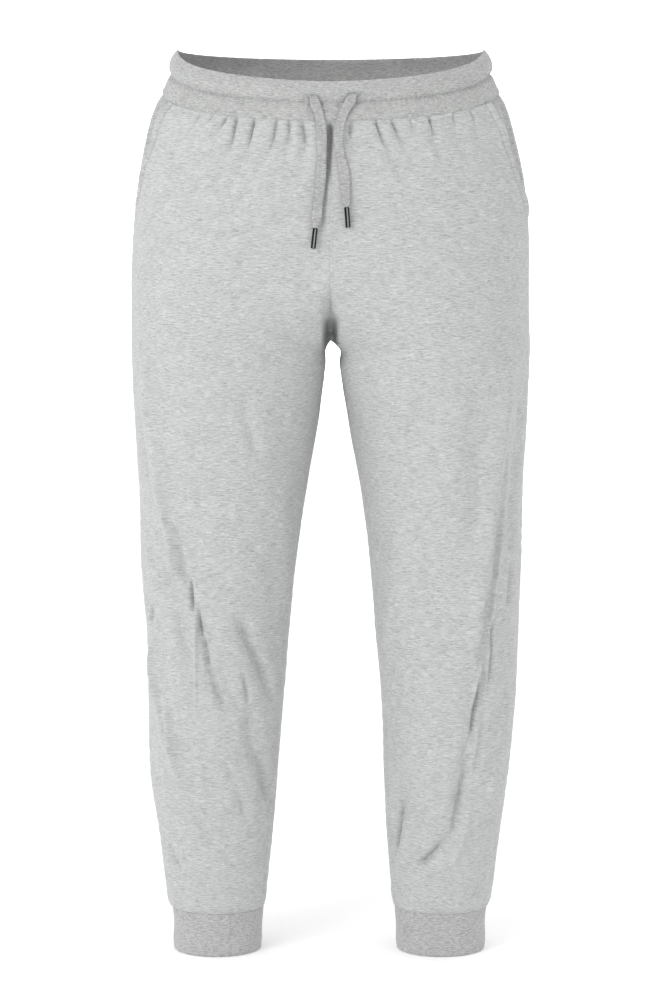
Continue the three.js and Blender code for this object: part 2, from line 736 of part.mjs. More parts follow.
// A crimped metal tip: a short round bar with rounded ends, in line with the cord's end.
function agletMesh(side, material) {
  const half = AGLET_LENGTH / 2;
  const profile = [
    new THREE.Vector2(0, -half),
    new THREE.Vector2(AGLET_RADIUS - AGLET_ROUND, -half),
    new THREE.Vector2(AGLET_RADIUS, -half + AGLET_ROUND),
    new THREE.Vector2(AGLET_RADIUS, half - AGLET_ROUND),
    new THREE.Vector2(AGLET_RADIUS - AGLET_ROUND, half),
    new THREE.Vector2(0, half),
  ];
  const mesh = new THREE.Mesh(new THREE.LatheGeometry(profile, AGLET_SIDES), material);
  const curve = route(CORD_ROUTES[side]);
  const direction = curve.getTangentAt(1);
  mesh.position.copy(curve.getPointAt(1)).addScaledVector(direction, half + SEAM_GAP);
  mesh.quaternion.setFromUnitVectors(new THREE.Vector3(0, 1, 0), direction);
  return mesh;
}

function clothMaterial(color) {
  return new THREE.MeshStandardMaterial({ color, roughness: 0.92, metalness: 0 });
}

const jersey = clothMaterial(MARL);
const bandJersey = clothMaterial(MARL_TRIM);
const cuffJersey = clothMaterial(MARL_CUFF);
const cordJersey = clothMaterial(CORD_GREY);
const tipMetal = new THREE.MeshStandardMaterial({ color: AGLET_METAL, roughness: 0.3, metalness: 1 });

const trousers = new THREE.Group();

function addPiece(name, geometry, material) {
  const mesh = new THREE.Mesh(geometry, material.clone());
  mesh.name = name;
  trousers.add(mesh);
}

for (const side of SIDES) {
  addPiece(`front_${side}`, panelGeometry(side, 'front'), jersey);
  addPiece(`back_${side}`, panelGeometry(side, 'back'), jersey);
  addPiece(`pocket_facing_${side}`, facingGeometry(side), jersey);
  addPiece(`waistband_${side}`, bandGeometry(side), bandJersey);
  addPiece(`cuff_${side}`, cuffGeometry(side), cuffJersey);
  addPiece(`drawstring_${side}`, cordGeometry(side), cordJersey);
  const tip = agletMesh(side, tipMetal.clone());
  tip.name = `aglet_${side}`;
  trousers.add(tip);
}

export default trousers;
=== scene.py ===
"""Jogger sweatpants in light grey marl jersey, filled out and hollow, in a plain studio.

Garment sizes are millimetres and are turned into metres as each mesh is made. +Z is up, the
front faces -Y and the wearer's left leg is on +X. Angles are degrees round a leg from its
outermost line, above zero towards the front. Every piece is worked out on the wearer's left
and turned over, x to -x, for the right.
"""

from __future__ import annotations

import logging
import math
from dataclasses import dataclass, field
from enum import Enum

import bpy
import numpy as np
from numpy.typing import NDArray
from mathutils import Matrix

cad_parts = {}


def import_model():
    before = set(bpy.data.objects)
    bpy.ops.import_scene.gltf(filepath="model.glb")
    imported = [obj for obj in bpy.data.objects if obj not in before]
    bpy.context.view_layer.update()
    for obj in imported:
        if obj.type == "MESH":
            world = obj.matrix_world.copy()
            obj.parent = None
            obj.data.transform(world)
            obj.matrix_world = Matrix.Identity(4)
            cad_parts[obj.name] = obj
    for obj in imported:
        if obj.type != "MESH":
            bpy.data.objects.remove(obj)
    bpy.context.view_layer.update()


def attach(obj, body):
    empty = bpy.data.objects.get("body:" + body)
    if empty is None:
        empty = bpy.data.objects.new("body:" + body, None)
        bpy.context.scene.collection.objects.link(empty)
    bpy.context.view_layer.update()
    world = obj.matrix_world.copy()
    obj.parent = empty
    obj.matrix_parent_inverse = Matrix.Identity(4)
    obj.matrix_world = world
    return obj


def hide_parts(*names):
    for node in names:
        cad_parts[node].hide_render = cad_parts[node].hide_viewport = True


Array = NDArray[np.float64]
IndexArray = NDArray[np.int64]

MM = 0.001
FINE_STEPS = 1500
SHARP_ANGLE = 55.0
LEVEL = np.array([1.0, 1.0, 0.0])
log = logging.getLogger("joggers")


class Side(Enum):
    """The wearer's sides."""

    LEFT = "left"
    RIGHT = "right"


class Face(Enum):
    """The two panels of a leg."""

    FRONT = "front"
    BACK = "back"


# Tables: a row for each section, fold, gather or step, with named columns

SECTION_COLUMNS = ("height", "out_right", "in_right", "out_left", "in_left", "front", "back")
SECTION_ROWS = (
    (30, 183, -183, 183, -183, 119, 116),
    (-24, 188.5, -188.5, 189, -189, 120, 118),
    (-58, 200.5, -200.5, 200.5, -200.5, 122, 123),
    (-80, 206.5, -197, 207, -197, 124, 127),
    (-104, 212, -176, 213.5, -176, 126, 132),
    (-131, 217, -145, 218.5, -145, 128, 137),
    (-180, 222, -92, 223, -92, 130, 143),
    (-220, 224, -52, 223.8, -52, 129, 145),
    (-255, 224.5, -24, 224, -24, 126, 142),
    (-280, 224.7, -9, 224.4, -9, 122, 137),
    (-300, 225, 0.15, 225.5, 0.15, 119, 132),
    (-305, 225, 3.8, 225.6, 7.2, 118, 131),
    (-326, 225, 5.8, 224.8, 10, 115, 127),
    (-387, 222.4, 13.3, 222.8, 19.6, 107, 116),
    (-470, 218, 28, 218.4, 34.5, 97, 103),
    (-552, 216.5, 39.7, 217.3, 44.9, 89, 92),
    (-635, 210.5, 48, 214.8, 51.5, 83, 82),
    (-719, 209.3, 54.9, 211.4, 58.6, 74, 80),
    (-803, 207, 61.5, 203.6, 61.4, 66, 77),
    (-867, 198, 67, 194.8, 64.5, 57, 67),
    (-931, 190.6, 73.8, 187, 69.8, 50, 58),
    (-945, 188.8, 75, 185, 71, 48.5, 56.5),
    (-953, 185.2, 77, 181.8, 73, 46.5, 54.5),
    (-1003, 182.4, 80.5, 178.8, 76, 44, 51),
)

FOLD_COLUMNS = ("angle1", "height1", "angle2", "height2", "bow", "width", "rise", "skew")

# The large folds, as in the solids
FOLD_ROWS = {
    Side.RIGHT: (
        (28, -300, 66, -610, 0, 13, 6, 0.2),
        (50, -455, 76, -700, 10, 10, -6, 0.2),
        (76, -585, 106, -705, 4, 9, -4.5, 0),
        (104, -592, 158, -716, 4, 10, -5, 0.2),
        (116, -690, 164, -850, 6, 11, -4.5, 0),
        (20, -622, 66, -815, 0, 12, 5, 0.2),
        (4, -588, 36, -614, 0, 9, -4, 0),
        (12, -858, 54, -908, 0, 9, -3.5, 0),
        (130, -440, 168, -640, 0, 16, 3, 0),
        (-20, -380, -46, -640, -6, 14, 5, 0.2),
        (-52, -480, -84, -700, 6, 10, -5, 0),
        (-84, -560, -140, -690, 0, 11, -5, 0),
        (-40, -640, -70, -820, 0, 11, 4, 0),
        (-100, -720, -150, -880, 0, 11, -4.5, 0),
        (-96, -255, -150, -380, 8, 15, -5, 0),
    ),
    Side.LEFT: (
        (33, -285, 72, -700, -8, 12, 6.5, -0.3),
        (22, -320, 38, -570, 0, 11, -4, 0),
        (69, -330, 70, -555, 0, 11, -2.5, 0),
        (60, -650, 87, -885, 0, 10, -4.5, 0),
        (46, -775, 58, -855, 0, 10, 3.5, 0),
        (82, -858, 126, -904, 0, 8, -4, 0),
        (130, -795, 162, -908, 0, 9, -4.5, 0),
        (120, -470, 160, -690, 0, 16, 3, 0),
        (-24, -360, -40, -610, 0, 13, 4.5, 0),
        (-60, -500, -86, -715, 4, 10, -5, 0),
        (-94, -545, -146, -668, 0, 11, -4.5, 0),
        (-30, -650, -66, -840, 0, 11, 4, 0),
        (-108, -700, -152, -862, 0, 11, -4, 0),
        (-98, -260, -150, -370, 8, 15, -5, 0),
    ),
}

# Finer creases that lie in and between the large folds
CREASE_ROWS = {
    Side.RIGHT: (
        (46, -430, 63, -600, 1, 4.5, 2.8, 0.3),
        (56, -485, 72, -580, 2, 5, -3.6, 0.3),
        (71.2, -556, 73.6, -602, -0.8, 2, -3.6, 0.4),
        (74.4, -584, 78, -606, 0, 2.4, 1.6, 0),
        (77.4, -588, 80.2, -634, 1.2, 2, -3.2, 0.3),
        (79.6, -622, 86, -668, -0.8, 2.6, -3, 0.3),
        (83.6, -648, 104, -720, 2.5, 4, -3.2, 0.2),
        (74.6, -590, 76, -726, 0.6, 2, 2, 0),
        (88, -650, 108, -712, 2, 5, 1.8, 0),
        (18, -586, 25, -624, 0, 3, -3.2, 0.2),
        (30, -520, 40, -590, 2, 6, 2, 0),
        (24, -634, 42, -720, 1, 3.6, 2.4, 0),
        (34, -660, 50, -760, -1, 4, -2, 0),
        (45, -700, 64, -808, 2, 4, 2.6, 0),
        (113, -664, 122, -708, 0, 2.4, -2.4, 0.2),
        (104, -594, 150, -700, 3, 4, -2.8, 0.2),
        (134, -760, 160, -838, 0, 4, -2.6, 0),
        (100, -770, 128, -850, -2, 6, -2, 0),
        (70, -820, 92, -884, 2, 5, -1.8, 0),
        (22, -866, 48, -905, 1, 3.6, -2.2, 0),
        (34, -300, 40, -400, 0, 6, 1.8, 0),
        (26, -360, 34, -470, 2, 5, -1.8, 0),
        (100, -350, 118, -430, 4, 7, -1.8, 0),
        (-36, -470, -60, -600, 2, 4, -3, 0.2),
        (-74, -556, -86, -644, 0, 2.6, -3, 0.2),
        (-90, -600, -130, -690, 3, 4, -2.8, 0),
        (-60, -700, -96, -800, 0, 4, 2.4, 0),
        (-120, -800, -152, -904, 0, 4, -2.8, 0),
        (-24, -860, -66, -916, 0, 3.4, -2.4, 0),
        (-60, -820, -100, -890, 3, 5, -2, 0),
        (-112, -285, -148, -350, 3, 5, -3, 0.2),
    ),
    Side.LEFT: (
        (44, -470, 57.6, -634, -1.4, 2.6, 2.8, 0.3),
        (56.6, -620, 61.6, -706, 0.8, 2.2, 2.4, 0.3),
        (53.6, -600, 58.8, -694, 0, 2.2, -3, 0.3),
        (60, -560, 66, -676, 0, 5, -2.6, 0.2),
        (63, -648, 74, -716, 1, 2.4, 2.6, 0),
        (65.4, -664, 72.8, -754, 0.6, 2.4, -3.2, 0.3),
        (58, -700, 66, -800, 1, 3.6, -2.2, 0),
        (33.6, -638, 30.8, -696, -2, 3, 2, 0),
        (30.4, -686, 44.4, -766, -2, 3, 2.2, 0),
        (31.5, -540, 37, -606, 0, 4.4, -2.8, 0.2),
        (44, -780, 55, -850, 0, 3, 2, 0),
        (90, -866, 120, -899, 0, 2.8, -2.8, 0.2),
        (138, -816, 159, -896, 2, 3, -2.8, 0.2),
        (74, -766, 85, -870, 0, 3.6, -2.6, 0.2),
        (66, -830, 80, -896, 1, 3.4, 2, 0),
        (100, -800, 126, -872, 3, 6, -1.8, 0),
        (40, -400, 49, -560, 0, 5, 2, 0),
        (62, -380, 66, -540, 0, 6, -1.8, 0),
        (100, -340, 116, -420, 4, 7, -1.8, 0),
        (-40, -500, -62, -620, 2, 4, -2.8, 0.2),
        (-80, -566, -92, -664, 0, 2.6, -2.8, 0.2),
        (-96, -590, -134, -665, 3, 4, -2.8, 0),
        (-52, -690, -88, -806, 0, 4, 2.4, 0),
        (-118, -780, -150, -884, 0, 4, -2.6, 0),
        (-20, -868, -60, -915, 0, 3.2, -2.4, 0),
        (-70, -800, -104, -880, -2, 5, -2, 0),
        (-114, -290, -148, -345, 3, 5, -2.8, 0.2),
    ),
}

GATHER_COLUMNS = ("top", "foot", "length", "width", "depth")
GATHER_ROWS = {
    (Side.RIGHT, Face.FRONT): (
        (44, 43, 30, 4, 1.4),
        (50, 46, 26, 3.4, 1.6),
        (55.5, 52, 34, 3.4, 2.8),
        (59, 60.5, 60, 3, 3.4),
        (65.5, 66.5, 70, 3.2, 3),
        (73.2, 74, 58, 3, 3),
        (77, 80, 44, 3, 2.8),
        (81, 87.4, 52, 3.6, 4),
    ),
    (Side.LEFT, Face.FRONT): (
        (38, 39, 34, 3.4, 2),
        (47, 49, 30, 3.4, 1.8),
        (57, 57.5, 36, 2.8, 3.2),
        (64, 64.5, 28, 3.4, 1.8),
        (70.6, 68.4, 40, 3, 3.2),
        (75.8, 73.8, 62, 3.8, 3),
        (83.4, 86.8, 36, 3.4, 3.8),
    ),
    (Side.RIGHT, Face.BACK): (
        (-18, -19, 34, 3.6, 1.8),
        (-29, -30, 52, 3.2, 2.8),
        (-38, -37, 40, 3.4, 2.4),
        (-47, -48, 62, 3.2, 3.2),
        (-54, -54, 30, 3.4, 2),
        (-62, -63, 56, 3.2, 3),
        (-71, -71, 44, 3.4, 2.6),
        (-80, -81, 60, 3.2, 3),
    ),
    (Side.LEFT, Face.BACK): (
        (-20, -20, 44, 3.4, 2.4),
        (-31, -30, 36, 3.4, 2.2),
        (-41, -42, 60, 3.2, 3.2),
        (-49, -49, 34, 3.4, 2.2),
        (-57, -58, 54, 3.2, 3),
        (-67, -67, 42, 3.4, 2.6),
        (-75, -76, 58, 3.2, 3),
        (-83, -83, 34, 3.4, 2.2),
    ),
}

# The soft waves of hanging jersey: a rise, and the turns and shifts of two crossed sines
WAVE_COLUMNS = ("rise", "round1", "up1", "shift1", "round2", "up2", "shift2")
WAVE_ROWS = (
    (0.3, 9, 2.1, 1, -2, 1.3, 1),
    (0.22, 17, -3.7, 2, 3, 4.9, 0),
    (0.14, 31, 5.3, 1, -7, 9.7, 1),
)

# Where the free edge of a pocket opening stands away from its facing
GAPE_COLUMNS = ("height", "reach", "rise")
GAPE_ROWS = {
    Side.LEFT: ((-38, 8, 3), (-68, 14, 5), (-106, 16, 3), (-142, 16, 4.6)),
    Side.RIGHT: ((-58, 18, 3.6), (-108, 20, 3.4)),
}

# Where each piece's map starts along the cloth, so that no two pieces share their marl
CLOTH_STARTS = {
    "front": {Side.LEFT: 400.0, Side.RIGHT: 0.0},
    "back": {Side.LEFT: 1300.0, Side.RIGHT: 900.0},
    "facing": {Side.LEFT: 1700.0, Side.RIGHT: 1700.0},
    "band": {Side.LEFT: 2300.0, Side.RIGHT: 3100.0},
    "cuff": {Side.LEFT: 4100.0, Side.RIGHT: 4700.0},
    "cord": {Side.LEFT: 5200.0, Side.RIGHT: 5200.0},
}

# The waistband up from its seam: share of its height, how far the outer face leans in, wall
BAND_COLUMNS = ("share", "lean", "wall")
BAND_ROWS = (
    (0, 0.7, 3),
    (0.05, 0.3, 3.4),
    (0.18, 3.4, 3.6),
    (0.34, 6.8, 3.6),
    (0.43, 9.3, 2.4),
    (0.47, 11.4, 1.2),
    (0.51, 9.6, 2.2),
    (0.6, 8.2, 3.6),
    (0.74, 8.8, 3.8),
    (0.88, 11.8, 3.4),
    (0.97, 15, 2.6),
    (1, 16.2, 2),
)

# The cuff down from its seam: share of its height, and how far in its two faces lie
CUFF_COLUMNS = ("share", "outer", "inner")
CUFF_ROWS = (
    (0, 1.5, 3),
    (0.04, 0.7, 3),
    (0.14, 0.1, 3),
    (0.5, 0, 3),
    (0.9, 0.1, 3),
    (1, 0.6, 2.6),
)

# The drawstring ends' centre lines, from the slit in the band to the metal tip
CORD_COLUMNS = ("x", "y", "z")
CORD_ROWS = {
    Side.RIGHT: (
        (-18.7, -117.5, -32),
        (-18.5, -119.1, -32.5),
        (-17.6, -120, -35.2),
        (-16.2, -120.3, -39.5),
        (-12.6, -122.2, -49),
        (-10, -125.4, -62),
        (-9.2, -127.8, -78),
        (-9.2, -129.4, -96),
        (-10.2, -130.8, -117),
        (-12.2, -132, -138),
        (-14.4, -133.2, -156),
        (-16.2, -134.2, -172),
    ),
    Side.LEFT: (
        (24.3, -117.2, -30),
        (24.1, -118.8, -30.5),
        (23, -119.6, -33.2),
        (20.6, -119.9, -38),
        (15.4, -121.5, -47),
        (10.8, -124.9, -60),
        (9, -127.1, -74),
        (10.2, -128.8, -90),
        (13.8, -130.4, -107),
        (15.8, -131.6, -122),
        (16.4, -132.6, -136),
        (17.4, -133.8, -149.5),
    ),
}


def columns(names: tuple[str, ...], rows: tuple[tuple[float, ...], ...]) -> dict[str, Array]:
    """Turn rows of numbers into one array for each named column."""
    data = np.array(rows, dtype=float)
    return {name: data[:, i] for i, name in enumerate(names)}


# Curves and surfaces as whole arrays


def smoothstep(value: Array | float) -> Array:
    """Rise from 0 to 1 as 3 t squared less 2 t cubed, held at both ends."""
    t = np.clip(value, 0.0, 1.0)
    return t * t * (3.0 - 2.0 * t)


def climb(value: Array | float, start: float, end: float) -> Array:
    """Rise smoothly from 0 at the start to 1 at the end, which may lie below it."""
    return smoothstep((value - start) / (end - start))


def mix(a: Array | float, b: Array | float, t: Array | float) -> Array:
    """Blend straight from a to b as t goes from 0 to 1."""
    return a + (b - a) * t


def bell(distance: Array | float, width: Array | float) -> Array:
    """Fall off as e to the power of minus the square of distance over width."""
    return np.exp(-((distance / width) ** 2))


def hermite(knots: Array, values: Array, at: Array) -> Array:
    """Read a smooth curve through knots.

    Between two knots the curve is the cubic that meets both values and both slopes. A slope
    is the mean of the chords on its two sides, each weighted by the other's length.

    Args:
        knots: Positions in rising order.
        values: The curve's value at each knot.
        at: Positions to read.

    Returns:
        The curve's values at those positions.
    """
    gap = np.diff(knots)
    chord = np.diff(values) / gap
    inner = (chord[:-1] * gap[1:] + chord[1:] * gap[:-1]) / (gap[:-1] + gap[1:])
    slope = np.concatenate([chord[:1], inner, chord[-1:]])
    x = np.clip(at, knots[0], knots[-1])
    k = np.clip(np.searchsorted(knots, x, side="right") - 1, 0, len(knots) - 2)
    t = (x - knots[k]) / gap[k]
    t2, t3 = t * t, t * t * t
    start = values[k] * (2 * t3 - 3 * t2 + 1) + slope[k] * gap[k] * (t3 - 2 * t2 + t)
    return start + values[k + 1] * (3 * t2 - 2 * t3) + slope[k + 1] * gap[k] * (t3 - t2)


def unit(vectors: Array) -> Array:
    """Scale vectors along the last axis to length 1."""
    return vectors / np.maximum(np.linalg.norm(vectors, axis=-1, keepdims=True), 1e-12)


def run_length(points: Array) -> Array:
    """Return how far along a line of points each one lies."""
    return np.concatenate([[0], np.cumsum(np.linalg.norm(np.diff(points, axis=0), axis=1))])


def circle_turns(sides: int) -> Array:
    """Return even turns round a circle, in radians."""
    return 2 * math.pi * np.arange(sides) / sides


def tube_faces(rings: int, sides: int) -> list[IndexArray]:
    """Return the quads between a tube's rings, then its first and last ring as caps."""
    grid = np.arange(rings * sides).reshape(rings, sides)
    ahead = np.roll(grid, -1, axis=1)
    quads = np.stack([grid[:-1], ahead[:-1], ahead[1:], grid[1:]], axis=-1).reshape(-1, 4)
    return [quads, grid[:1, ::-1], grid[-1:, :]]


def centripetal(points: Array, count: int) -> Array:
    """Carry a smooth curve through points and read it at even distances along it.

    Each span is the cubic through its two ends whose slopes come from its neighbours, with
    knots spaced by the square root of the distance, as in a centripetal curve.

    Args:
        points: The points to pass through, one a row.
        count: How many points to return.

    Returns:
        Points evenly spaced along the curve.
    """
    steps = np.sqrt(np.linalg.norm(np.diff(points, axis=0), axis=1))
    knots = np.concatenate([[0], np.cumsum(steps)])
    fine = np.linspace(0, knots[-1], FINE_STEPS)
    curve = np.stack([hermite(knots, points[:, i], fine) for i in range(3)], axis=1)
    length = run_length(curve)
    even = np.linspace(0, length[-1], count)
    return np.stack([np.interp(even, length, curve[:, i]) for i in range(3)], axis=1)


def grid_quads(index: IndexArray, ring: bool) -> IndexArray:
    """Return the quads of a grid of point numbers, its last row joined to its first on a ring."""
    if ring:
        index = np.concatenate([index, index[:1]], axis=0)
    corners = [index[:-1, :-1], index[:-1, 1:], index[1:, 1:], index[1:, :-1]]
    return np.stack(corners, axis=-1).reshape(-1, 4)


@dataclass(frozen=True)
class Shell:
    """A wall of cloth: a fine grid of outer points joined to a coarser grid of inner ones.

    The grids run down in rows and across in columns. Both column ends get a rounded lip.
    The steps of both grids divide by the inner grid's step.
    """

    outer: Array
    inner: Array
    uv: Array
    bulge: tuple[float, float] = (0.0, 0.0)
    ring: bool = False
    flipped: bool = False
    step: int = 1

    LIP = 3

    def _lip(self, end: int, before: int, bulge: float) -> Array:
        """Return the lip's points: a half circle from the outer edge to the inner one."""
        outer, inner = self.outer[:, end], self.inner[:, end]
        away = unit(outer - self.outer[:, before])
        radius = np.linalg.norm(outer - inner, axis=1, keepdims=True) / 2
        turns = math.pi * np.arange(1, self.LIP + 1) / (self.LIP + 1)
        arcs = [
            (outer + inner) / 2
            + (outer - inner) / 2 * math.cos(turn)
            + away * radius * bulge * math.sin(turn)
            for turn in turns
        ]
        return np.stack(arcs, axis=1)

    def _borders(self, rows: int, across: int) -> list[tuple[IndexArray, IndexArray]]:
        """Return the fine grid's borders as closed loops of row and column numbers."""
        down, along = np.arange(rows), np.arange(across)
        if self.ring:
            return [(down, 0 * down + across - 1), (down[::-1], 0 * down)]
        sides = [
            (0 * along, along),
            (down, 0 * down + across - 1),
            (0 * along + rows - 1, along[::-1]),
            (down[::-1], 0 * down),
        ]
        return [tuple(np.concatenate([side[i][:-1] for side in sides]) for i in range(2))]

    def mesh(self, name: str) -> bpy.types.Object:
        """Build the closed mesh with its map in metres.

        Each border point of the fine grid belongs to one of the coarse grid. A triangle joins
        each fine step to that point, and another fills in where the coarse point changes.

        Args:
            name: The new object's name.

        Returns:
            The object, in the scene.
        """
        start, end = self._lip(0, 1, self.bulge[0])[:, ::-1], self._lip(-1, -2, self.bulge[1])
        fine = np.concatenate([start, self.outer, end], axis=1)
        lip_uv = [np.repeat(self.uv[:, [i]], self.LIP, axis=1) for i in (0, -1)]
        fine_uv = np.concatenate([lip_uv[0], self.uv, lip_uv[1]], axis=1)
        coarse, coarse_uv = self.inner[:: self.step, :: self.step], self.uv[:: self.step, :: self.step]
        rows, across = fine.shape[:2]
        outside = np.arange(rows * across).reshape(rows, across)
        inside = rows * across + np.arange(coarse.shape[0] * coarse.shape[1]).reshape(coarse.shape[:2])
        own_row = np.arange(rows) // self.step
        own_column = np.clip(np.arange(across) - self.LIP, 0, self.outer.shape[1] - 1) // self.step
        faces = [grid_quads(outside, self.ring), grid_quads(inside, self.ring)[:, ::-1]]
        for row, column in self._borders(rows, across):
            edge, partner = outside[row, column], inside[own_row[row], own_column[column]]
            edge_next, partner_next = np.roll(edge, -1), np.roll(partner, -1)
            faces.append(np.stack([edge_next, edge, partner], axis=-1))
            moved = partner_next != partner
            faces.append(np.stack([edge_next, partner, partner_next], axis=-1)[moved])
        if self.flipped:
            faces = [f[:, ::-1] for f in faces]
        points = np.concatenate([fine.reshape(-1, 3), coarse.reshape(-1, 3)])
        uv = np.concatenate([fine_uv.reshape(-1, 2), coarse_uv.reshape(-1, 2)])
        return make_mesh(name, points, faces, uv)


def make_mesh(
    name: str,
    points: Array,
    faces: list[IndexArray],
    uv: Array | None = None,
    shade: Array | None = None,
) -> bpy.types.Object:
    """Put arrays of points and faces into a new mesh object.

    Args:
        name: The object's name.
        points: Points in millimetres, one a row.
        faces: Arrays of faces, each with one number of corners.
        uv: A place on the cloth for each point, in millimetres.
        shade: A value of painted shade and painted reflection for each point, kept as a point attribute.

    Returns:
        The object, linked into the scene and smoothly shaded.
    """
    mesh = bpy.data.meshes.new(name)
    totals = np.concatenate([np.full(len(f), f.shape[1]) for f in faces])
    corners = np.concatenate([f.ravel() for f in faces]).astype(np.int32)
    mesh.vertices.add(len(points))
    mesh.vertices.foreach_set("co", (points * MM).astype(np.float32).ravel())
    mesh.loops.add(len(corners))
    mesh.loops.foreach_set("vertex_index", corners)
    mesh.polygons.add(len(totals))
    starts = np.concatenate([[0], np.cumsum(totals)[:-1]]).astype(np.int32)
    mesh.polygons.foreach_set("loop_start", starts)
    mesh.polygons.foreach_set("loop_total", totals.astype(np.int32))
    mesh.polygons.foreach_set("use_smooth", np.ones(len(totals), dtype=bool))
    mesh.update(calc_edges=True)
    if uv is not None:
        layer = mesh.uv_layers.new(name="cloth")
        layer.data.foreach_set("uv", (uv[corners] * MM).astype(np.float32).ravel())
    # The point attribute of painted shade and painted reflection
    if shade is not None:
        painted_shade_and_reflection = mesh.attributes.new("painted_shade_and_reflection", "FLOAT", "POINT")
        painted_shade_and_reflection.data.foreach_set("value", shade.astype(np.float32))
    mesh.validate()
    mesh.set_sharp_from_angle(angle=math.radians(SHARP_ANGLE))
    made = bpy.data.objects.new(name, mesh)
    bpy.context.scene.collection.objects.link(made)
    return made


def dress(
    made: bpy.types.Object, material: bpy.types.Material, node: str | None = None
) -> None:
    """Give a piece its material and body, and hide the solid that it replaces."""
    made.data.materials.append(material)
    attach(made, "root")
    if node is not None:
        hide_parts(node)


# The trousers' form


